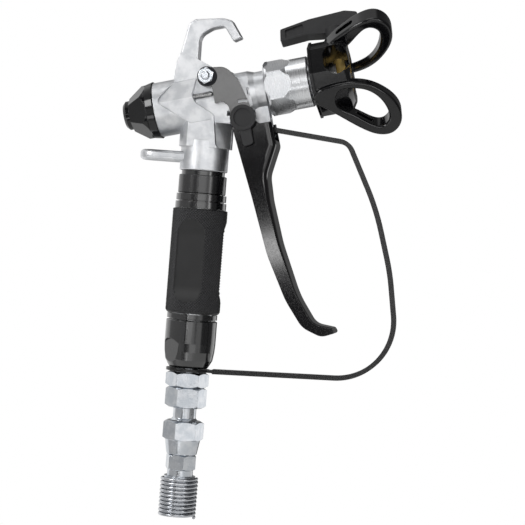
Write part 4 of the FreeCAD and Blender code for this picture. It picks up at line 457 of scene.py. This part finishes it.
def along_handle(tree: bpy.types.NodeTree, shape: bpy.types.NodeSocket,
                 down: float) -> bpy.types.NodeSocket:
    """Lay a shape drawn about Z on the handle axis, its +Z down the handle and its +X to the front.

    Args:
        tree: The geometry tree.
        shape: The shape's output.
        down: Distance down the handle of the shape's zero, in millimetres.

    Returns:
        The moved geometry.
    """
    spot = place(0, 0, 0) + HANDLE_WAY * down * MM
    return add_node(tree, "GeometryNodeTransform", inputs={
        "Geometry": shape, "Translation": spot, "Rotation": HANDLE_TURN}).outputs[0]


@dataclass
class SpringGuard:
    """Wire guard wound over the hose end, in place of the CAD coil and on the same line.

    Attributes:
        palette: Where the finish comes from.
        wire: Wire thickness.
        coil_radius: From the coil's middle to the wire's.
        pitch: From one turn to the next.
        turns: Number of turns.
        start: Distance down the handle of the first turn.
        steps: Straight runs in one turn.
        sides: Sides of the round wire.
    """

    palette: Palette
    wire: float = 1.85
    coil_radius: float = 10.45
    pitch: float = 2.35
    turns: int = 10
    start: float = 227.275
    steps: int = 56
    sides: int = 14

    def build(self) -> None:
        """Wind the wire along its helix."""
        piece = NodePiece("spring_guard_coil", "hose_end", WIRE, self.palette)
        piece.lengths(**{"Coil radius": self.coil_radius, "Wire radius": self.wire / 2,
                         "Height": self.pitch * self.turns})
        piece.size("Turns", "NodeSocketFloat", float(self.turns))
        tree, start = piece.tree, piece.start.outputs
        helix = add_node(tree, "GeometryNodeCurveSpiral", inputs={
            "Resolution": self.steps, "Rotations": start["Turns"],
            "Start Radius": start["Coil radius"], "End Radius": start["Coil radius"],
            "Height": start["Height"], "Reverse": True})
        section = add_node(tree, "GeometryNodeCurvePrimitiveCircle", inputs={
            "Resolution": self.sides, "Radius": start["Wire radius"]})
        wound = add_node(tree, "GeometryNodeCurveToMesh", inputs={
            "Curve": helix.outputs[0], "Profile Curve": section.outputs[0], "Fill Caps": True})
        smooth = add_node(tree, "GeometryNodeSetShadeSmooth", inputs={"Geometry": wound.outputs[0]})
        laid = along_handle(tree, smooth.outputs[0], self.start)
        piece.finished(laid, ("spring_guard",))


@dataclass
class Knurl:
    """Diamond knurling on the grip, left off the smooth insets.

    A real knurl of about 1 mm is too fine to show, so this one is drawn as coarse as it needs.

    Attributes:
        palette: Where the finish comes from.
        start: Distance down the handle of the first row.
        end: Distance down the handle of the last row.
        radius: Radius that the diamonds stand on.
        pitch: From one diamond to the next, round the grip.
        height: Height of a diamond.
        half_width: Half of a diamond's width, as a share of the pitch.
        tip: Radius of its blunt point.
        skin: A diamond is left off when the sleeve is further than this from its foot.
    """

    palette: Palette
    start: float = 66.4
    end: float = 127.1
    radius: float = 15.98
    pitch: float = 1.7
    height: float = 0.5
    half_width: float = 0.56
    tip: float = 0.1
    skin: float = 0.09

    def build(self) -> None:
        """Raise one small pyramid for each diamond that lies on the sleeve's full radius."""
        around = round(2 * math.pi * self.radius / self.pitch)
        rows = round((self.end - self.start) / (self.pitch / 2))
        piece = NodePiece("grip_knurl", "gun_frame", KNURLED, self.palette)
        piece.lengths(**{"Radius": self.radius, "Length": self.end - self.start,
                         "Height": self.height, "Diamond": self.pitch * self.half_width})
        piece.size("Around", "NodeSocketInt", around)
        piece.size("Rows", "NodeSocketInt", rows)
        piece.size("Sleeve", "NodeSocketObject", frame["nodes"]["grip_sleeve"])
        tree, start = piece.tree, piece.start.outputs
        grid = add_node(tree, "GeometryNodeMeshGrid", inputs={
            "Size X": 1.0, "Size Y": 1.0, "Vertices X": start["Around"],
            "Vertices Y": start["Rows"]})
        index = add_node(tree, "GeometryNodeInputIndex")
        row = add_node(tree, "ShaderNodeMath", {"operation": "MODULO"},
                       {0: index.outputs[0], 1: start["Rows"]})
        column = add_node(tree, "ShaderNodeMath", {"operation": "DIVIDE"},
                          {0: index.outputs[0], 1: start["Rows"]})
        whole = add_node(tree, "ShaderNodeMath", {"operation": "FLOOR"}, {0: column.outputs[0]})
        odd = add_node(tree, "ShaderNodeMath", {"operation": "MODULO"}, {0: row.outputs[0], 1: 2.0})
        shifted = add_node(tree, "ShaderNodeMath", {"operation": "MULTIPLY_ADD"},
                           {0: odd.outputs[0], 1: 0.5, 2: whole.outputs[0]})
        share = add_node(tree, "ShaderNodeMath", {"operation": "DIVIDE"},
                         {0: shifted.outputs[0], 1: start["Around"]})
        angle = add_node(tree, "ShaderNodeMath", {"operation": "MULTIPLY"},
                         {0: share.outputs[0], 1: 2 * math.pi})
        x = add_node(tree, "ShaderNodeMath", {"operation": "COSINE"}, {0: angle.outputs[0]})
        y = add_node(tree, "ShaderNodeMath", {"operation": "SINE"}, {0: angle.outputs[0]})
        outward = add_node(tree, "ShaderNodeCombineXYZ", inputs={
            "X": x.outputs[0], "Y": y.outputs[0]})
        on_skin = add_node(tree, "ShaderNodeVectorMath", {"operation": "SCALE"},
                           {0: outward.outputs[0], "Scale": start["Radius"]})
        step = add_node(tree, "ShaderNodeMath", {"operation": "DIVIDE"},
                        {0: row.outputs[0], 1: start["Rows"]})
        drop = add_node(tree, "ShaderNodeMath", {"operation": "MULTIPLY"},
                        {0: step.outputs[0], 1: start["Length"]})
        fall = add_node(tree, "ShaderNodeCombineXYZ", inputs={"Z": drop.outputs[0]})
        spot = add_node(tree, "ShaderNodeVectorMath", {"operation": "ADD"},
                        {0: on_skin.outputs[0], 1: fall.outputs[0]})
        wrapped = add_node(tree, "GeometryNodeSetPosition", inputs={
            "Geometry": grid.outputs[0], "Position": spot.outputs[0]})
        loose = add_node(tree, "GeometryNodeMeshToPoints", inputs={"Mesh": wrapped.outputs[0]})
        aimed = add_node(tree, "FunctionNodeAlignRotationToVector", {"axis": "Z"},
                         {"Vector": outward.outputs[0]})
        upright = add_node(tree, "FunctionNodeAlignRotationToVector",
                           {"axis": "X", "pivot_axis": "Z"},
                           {"Rotation": aimed.outputs[0], "Vector": (0.0, 0.0, 1.0)})
        kept = add_node(tree, "GeometryNodeStoreNamedAttribute", {"data_type": "QUATERNION"}, {
            "Geometry": wrapped.outputs[0], "Name": "stand", "Value": upright.outputs[0]})
        tree.links.new(kept.outputs[0], loose.inputs["Mesh"])
        laid = along_handle(tree, loose.outputs[0], self.start)
        sleeve = add_node(tree, "GeometryNodeObjectInfo", {"transform_space": "ORIGINAL"},
                          {"Object": start["Sleeve"]})
        near = add_node(tree, "GeometryNodeProximity", {"target_element": "FACES"},
                        {0: sleeve.outputs["Geometry"]})
        off = add_node(tree, "FunctionNodeCompare", {"operation": "GREATER_THAN"}, {
            0: near.outputs["Distance"], 1: self.skin * MM})
        on_knurl = add_node(tree, "GeometryNodeDeleteGeometry", {"domain": "POINT"}, {
            "Geometry": laid, "Selection": off.outputs[0]})
        cone = add_node(tree, "GeometryNodeMeshCone", {"fill_type": "NONE"}, {
            "Vertices": 4, "Radius Top": self.tip * MM, "Radius Bottom": start["Diamond"],
            "Depth": start["Height"]})
        stand = add_node(tree, "GeometryNodeInputNamedAttribute", {"data_type": "QUATERNION"},
                         {"Name": "stand"})
        tipped = add_node(tree, "FunctionNodeRotateRotation", {"rotation_space": "GLOBAL"}, {
            "Rotation": stand.outputs["Attribute"], "Rotate By": HANDLE_TURN})
        diamonds = add_node(tree, "GeometryNodeInstanceOnPoints", inputs={
            "Points": on_knurl.outputs[0], "Instance": cone.outputs[0],
            "Rotation": tipped.outputs[0]})
        piece.finished(diamonds.outputs[0])


@dataclass(frozen=True)
class Card:
    """One soft card of the surround, as polished surfaces show it.

    Attributes:
        azimuth: Degrees round from the near side, to the right.
        elevation: Degrees above the horizon.
        half_width: Degrees from its middle to its side.
        half_height: Degrees from its middle to its top.
        edge: Degrees over which it fades out.
        glow: Brightness, where 1 is white.
    """

    azimuth: float
    elevation: float
    half_width: float
    half_height: float
    edge: float
    glow: float

    def build(self, tree: bpy.types.NodeTree, turn: bpy.types.NodeSocket,
              rise: bpy.types.NodeSocket) -> bpy.types.NodeSocket:
        """Brightness of the card in every direction.

        Args:
            tree: The world's tree.
            turn: Azimuth of the direction, in degrees.
            rise: Its elevation, in degrees.

        Returns:
            The card's brightness.
        """
        level: Any = self.glow
        for value, middle, half in ((turn, self.azimuth, self.half_width),
                                    (rise, self.elevation, self.half_height)):
            off = add_node(tree, "ShaderNodeMath", {"operation": "SUBTRACT"}, {0: value, 1: middle})
            away = add_node(tree, "ShaderNodeMath", {"operation": "ABSOLUTE"}, {0: off.outputs[0]})
            inside = add_node(tree, "ShaderNodeMapRange", {"interpolation_type": "SMOOTHSTEP"}, {
                "Value": away.outputs[0], "From Min": half, "From Max": half + self.edge,
                "To Min": 1.0, "To Max": 0.0})
            level = add_node(tree, "ShaderNodeMath", {"operation": "MULTIPLY"},
                             {0: inside.outputs[0], 1: level}).outputs[0]
        return level


# In order: the tall key card by the camera and a dim one under it; two slits whose reflections draw
# the bright lines on the trigger's arms and blade; three dim cards to the left; a tall strip to the
# right; one behind on the right, for the hexagons; the ceiling; two strips of lit table.
CARDS = (
    Card(14.0, 10.0, 19.0, 16.0, 1.5, 1.5),
    Card(17.5, -9.5, 8.5, 3.0, 2.0, 0.45),
    Card(-8.0, 7.65, 8.0, 0.95, 0.3, 3.4),
    Card(-8.0, -0.5, 3.0, 0.4, 0.2, 7.0),
    Card(-28.0, -4.0, 9.0, 9.0, 3.0, 0.35),
    Card(-104.0, 8.0, 60.0, 50.0, 14.0, 0.35),
    Card(-127.0, 8.0, 22.0, 50.0, 8.0, 0.5),
    Card(46.0, 0.0, 10.0, 30.0, 4.0, 0.6),
    Card(141.0, -15.0, 14.0, 11.0, 5.0, 1.0),
    Card(0.0, 84.0, 180.0, 14.0, 14.0, 0.5),
    Card(14.0, -20.0, 19.0, 7.0, 2.0, 1.1),
    Card(-40.0, -25.0, 35.0, 4.5, 1.5, 2.2),
)


def towards(azimuth: float, elevation: float) -> Vector:
    """Way from the gun to something in the studio.

    Args:
        azimuth: Degrees round from the near side, to the right.
        elevation: Degrees above the horizon.

    Returns:
        A vector of length one.
    """
    a, e = math.radians(azimuth), math.radians(elevation)
    return Vector((math.sin(a) * math.cos(e), -math.cos(a) * math.cos(e), math.sin(e)))


@dataclass(frozen=True)
class Lamp:
    """One soft box, aimed at the middle of the gun.

    Attributes:
        name: The lamp's name.
        azimuth: Degrees round from the near side, to the right.
        elevation: Degrees above the horizon.
        distance: Metres from the gun.
        size: Width and height in metres.
        watts: Power.
        middle: Point it is aimed at, in the row frame.
    """

    name: str
    azimuth: float
    elevation: float
    distance: float
    size: tuple[float, float]
    watts: float
    middle: tuple[float, float, float] = (0.01, 0.0, -0.12)

    def build(self) -> None:
        """Hang the lamp."""
        way = towards(self.azimuth, self.elevation)
        data = bpy.data.lights.new(self.name, "AREA")
        data.shape = "RECTANGLE"
        data.size, data.size_y = self.size
        data.energy = self.watts
        lamp = bpy.data.objects.new(self.name, data)
        lamp.location = Vector(self.middle) + way * self.distance
        lamp.rotation_euler = way.to_track_quat("Z", "Y").to_euler()
        bpy.context.scene.collection.objects.link(lamp)


# A large soft key from the upper left, a fill from the right and a soft top
LAMPS = (
    Lamp("key_box", -38.0, 30.0, 1.1, (0.32, 0.42), 3.6),
    Lamp("fill_box", 48.0, 8.0, 1.3, (0.20, 0.90), 1.4),
    Lamp("top_box", 10.0, 78.0, 1.1, (0.50, 0.40), 1.2),
)


@dataclass
class Studio:
    """Plain pale floor, soft light and the camera at the photograph's angle.

    Attributes:
        azimuth: Camera's degrees round from the near side, to the right.
        elevation: Its degrees above the horizon.
        roll: Its degrees of roll.
        distance: Metres from the camera to the point it looks at.
        width_mm: Width that it takes in at that point.
        centre_mm: Middle of the drawing, in the row frame.
        shift_mm: What the picture's middle lies right of it and above it.
        floor_z: Height of the floor in metres.
        floor_half: Half of the floor's side in metres.
        floor_lift: Share of plain white in the floor where the camera sees it.
        fibre_mm: Size of the paper's fibre.
        dark: Brightness between the cards.
        soft: Brightness of the surround for matt surfaces.
    """

    azimuth: float = 8.5
    elevation: float = -1.5
    roll: float = 9.64
    distance: float = 1.0
    width_mm: float = 313.95
    centre_mm: tuple[float, float, float] = (3.6, 0.0, -143.0)
    shift_mm: tuple[float, float] = (0.837, 0.18)
    floor_z: float = -0.39
    floor_half: float = 0.36
    floor_lift: float = 0.6
    fibre_mm: float = 2.0
    dark: float = 0.10
    soft: float = 0.55

    def camera(self) -> None:
        """Stand the camera where the photograph was taken from."""
        a, e, roll = (math.radians(value) for value in (self.azimuth, self.elevation, self.roll))
        back = towards(self.azimuth, self.elevation)
        flat = Vector((math.cos(a), math.sin(a), 0.0))
        upright = Vector((-math.sin(a) * math.sin(e), math.cos(a) * math.sin(e), math.cos(e)))
        right = flat * math.cos(roll) - upright * math.sin(roll)
        up = flat * math.sin(roll) + upright * math.cos(roll)
        across, above = self.shift_mm
        centre = Vector(self.centre_mm) * MM + right * across * MM + up * above * MM
        data = bpy.data.cameras.new("camera")
        data.sensor_width = 36.0
        data.angle = 2 * math.atan(self.width_mm * MM / 2 / self.distance)
        data.clip_start, data.clip_end = 0.05, 50.0
        camera = bpy.data.objects.new("camera", data)
        turn = Matrix((right, up, back)).transposed().to_4x4()
        camera.matrix_world = Matrix.Translation(centre + back * self.distance) @ turn
        bpy.context.scene.collection.objects.link(camera)
        bpy.context.scene.camera = camera

    def world(self) -> None:
        """White where the camera sees it; dark with soft cards where polished surfaces do."""
        world = bpy.data.worlds.new("studio")
        bpy.context.scene.world = world
        world.use_nodes = True
        tree = world.node_tree
        tree.nodes.clear()
        path = add_node(tree, "ShaderNodeLightPath")
        way = add_node(tree, "ShaderNodeTexCoord").outputs["Generated"]
        parts = add_node(tree, "ShaderNodeSeparateXYZ", inputs={0: way}).outputs
        nearer = add_node(tree, "ShaderNodeMath", {"operation": "MULTIPLY"},
                          {0: parts["Y"], 1: -1.0})
        angle = add_node(tree, "ShaderNodeMath", {"operation": "ARCTAN2"},
                         {0: parts["X"], 1: nearer.outputs[0]})
        turn = add_node(tree, "ShaderNodeMath", {"operation": "DEGREES"}, {0: angle.outputs[0]})
        slope = add_node(tree, "ShaderNodeMath", {"operation": "ARCSINE"}, {0: parts["Z"]})
        rise = add_node(tree, "ShaderNodeMath", {"operation": "DEGREES"}, {0: slope.outputs[0]})
        total: Any = self.dark
        for card in CARDS:
            lit = card.build(tree, turn.outputs[0], rise.outputs[0])
            total = add_node(tree, "ShaderNodeMath", {"operation": "ADD"},
                             {0: lit, 1: total}).outputs[0]
        soft = add_node(tree, "ShaderNodeBackground", inputs={
            "Color": WHITE, "Strength": self.soft})
        mirror = add_node(tree, "ShaderNodeBackground", inputs={
            "Color": WHITE, "Strength": total})
        white = add_node(tree, "ShaderNodeBackground", inputs={
            "Color": WHITE, "Strength": 1.0})
        shiny = add_node(tree, "ShaderNodeMixShader", inputs={
            0: path.outputs["Is Glossy Ray"], 1: soft.outputs[0], 2: mirror.outputs[0]})
        through = add_node(tree, "ShaderNodeMath", {"operation": "MAXIMUM"}, {
            0: path.outputs["Is Camera Ray"], 1: path.outputs["Is Transmission Ray"]})
        seen = add_node(tree, "ShaderNodeMixShader", inputs={
            0: through.outputs[0], 1: shiny.outputs[0], 2: white.outputs[0]})
        add_node(tree, "ShaderNodeOutputWorld", inputs={"Surface": seen.outputs[0]})

    def floor(self) -> None:
        """A pale paper sheet under the gun that keeps its soft shadow."""
        mesh = bpy.data.meshes.new("floor")
        shape = bmesh.new()
        bmesh.ops.create_grid(shape, x_segments=4, y_segments=4, size=self.floor_half,
                              matrix=Matrix.Translation((0, 0, self.floor_z)))
        shape.to_mesh(mesh)
        shape.free()
        material = bpy.data.materials.new("floor_pale_paper")
        material.use_nodes = True
        tree = material.node_tree
        tree.nodes.clear()
        path = add_node(tree, "ShaderNodeLightPath")
        where = add_node(tree, "ShaderNodeTexCoord").outputs["Object"]
        fibre = add_node(tree, "ShaderNodeTexNoise", inputs={
            "Vector": where, "Scale": 1 / (self.fibre_mm * MM)})
        tone = add_node(tree, "ShaderNodeMix", {"data_type": "RGBA"}, {
            "Factor": fibre.outputs["Fac"], 6: linear("#F2F2F1"), 7: linear("#F6F6F5")})
        paper = add_node(tree, "ShaderNodeBsdfDiffuse", inputs={"Color": tone.outputs[2]})
        glow = add_node(tree, "ShaderNodeEmission", inputs={"Color": WHITE, "Strength": 1.0})
        seen = add_node(tree, "ShaderNodeMath", {"operation": "MULTIPLY"}, {
            0: path.outputs["Is Camera Ray"], 1: self.floor_lift})
        mixed = add_node(tree, "ShaderNodeMixShader", inputs={
            0: seen.outputs[0], 1: paper.outputs[0], 2: glow.outputs[0]})
        add_node(tree, "ShaderNodeOutputMaterial", inputs={"Surface": mixed.outputs[0]})
        mesh.materials.append(material)
        floor = bpy.data.objects.new("floor", mesh)
        bpy.context.scene.collection.objects.link(floor)

    def build(self) -> None:
        """Set up the whole studio."""
        self.camera()
        for lamp in LAMPS:
            lamp.build()
        self.world()
        self.floor()
        bpy.context.scene.view_settings.view_transform = "Standard"
        LOG.info("studio: camera, %d lamps, %d cards and floor", len(LAMPS), len(CARDS))


def main() -> None:
    """Dress the gun piece by piece, then set up the studio."""
    logging.basicConfig(level=logging.INFO, format="%(name)s: %(message)s")
    for stray in [thing for thing in bpy.context.scene.objects
                  if thing.name in ("Cube", "Light", "Camera")]:
        bpy.data.objects.remove(stray)
    palette = Palette()
    palette.dress_nodes()
    SpringGuard(palette).build()
    Knurl(palette).build()
    Studio().build()


if __name__ == "__main__":
    main()
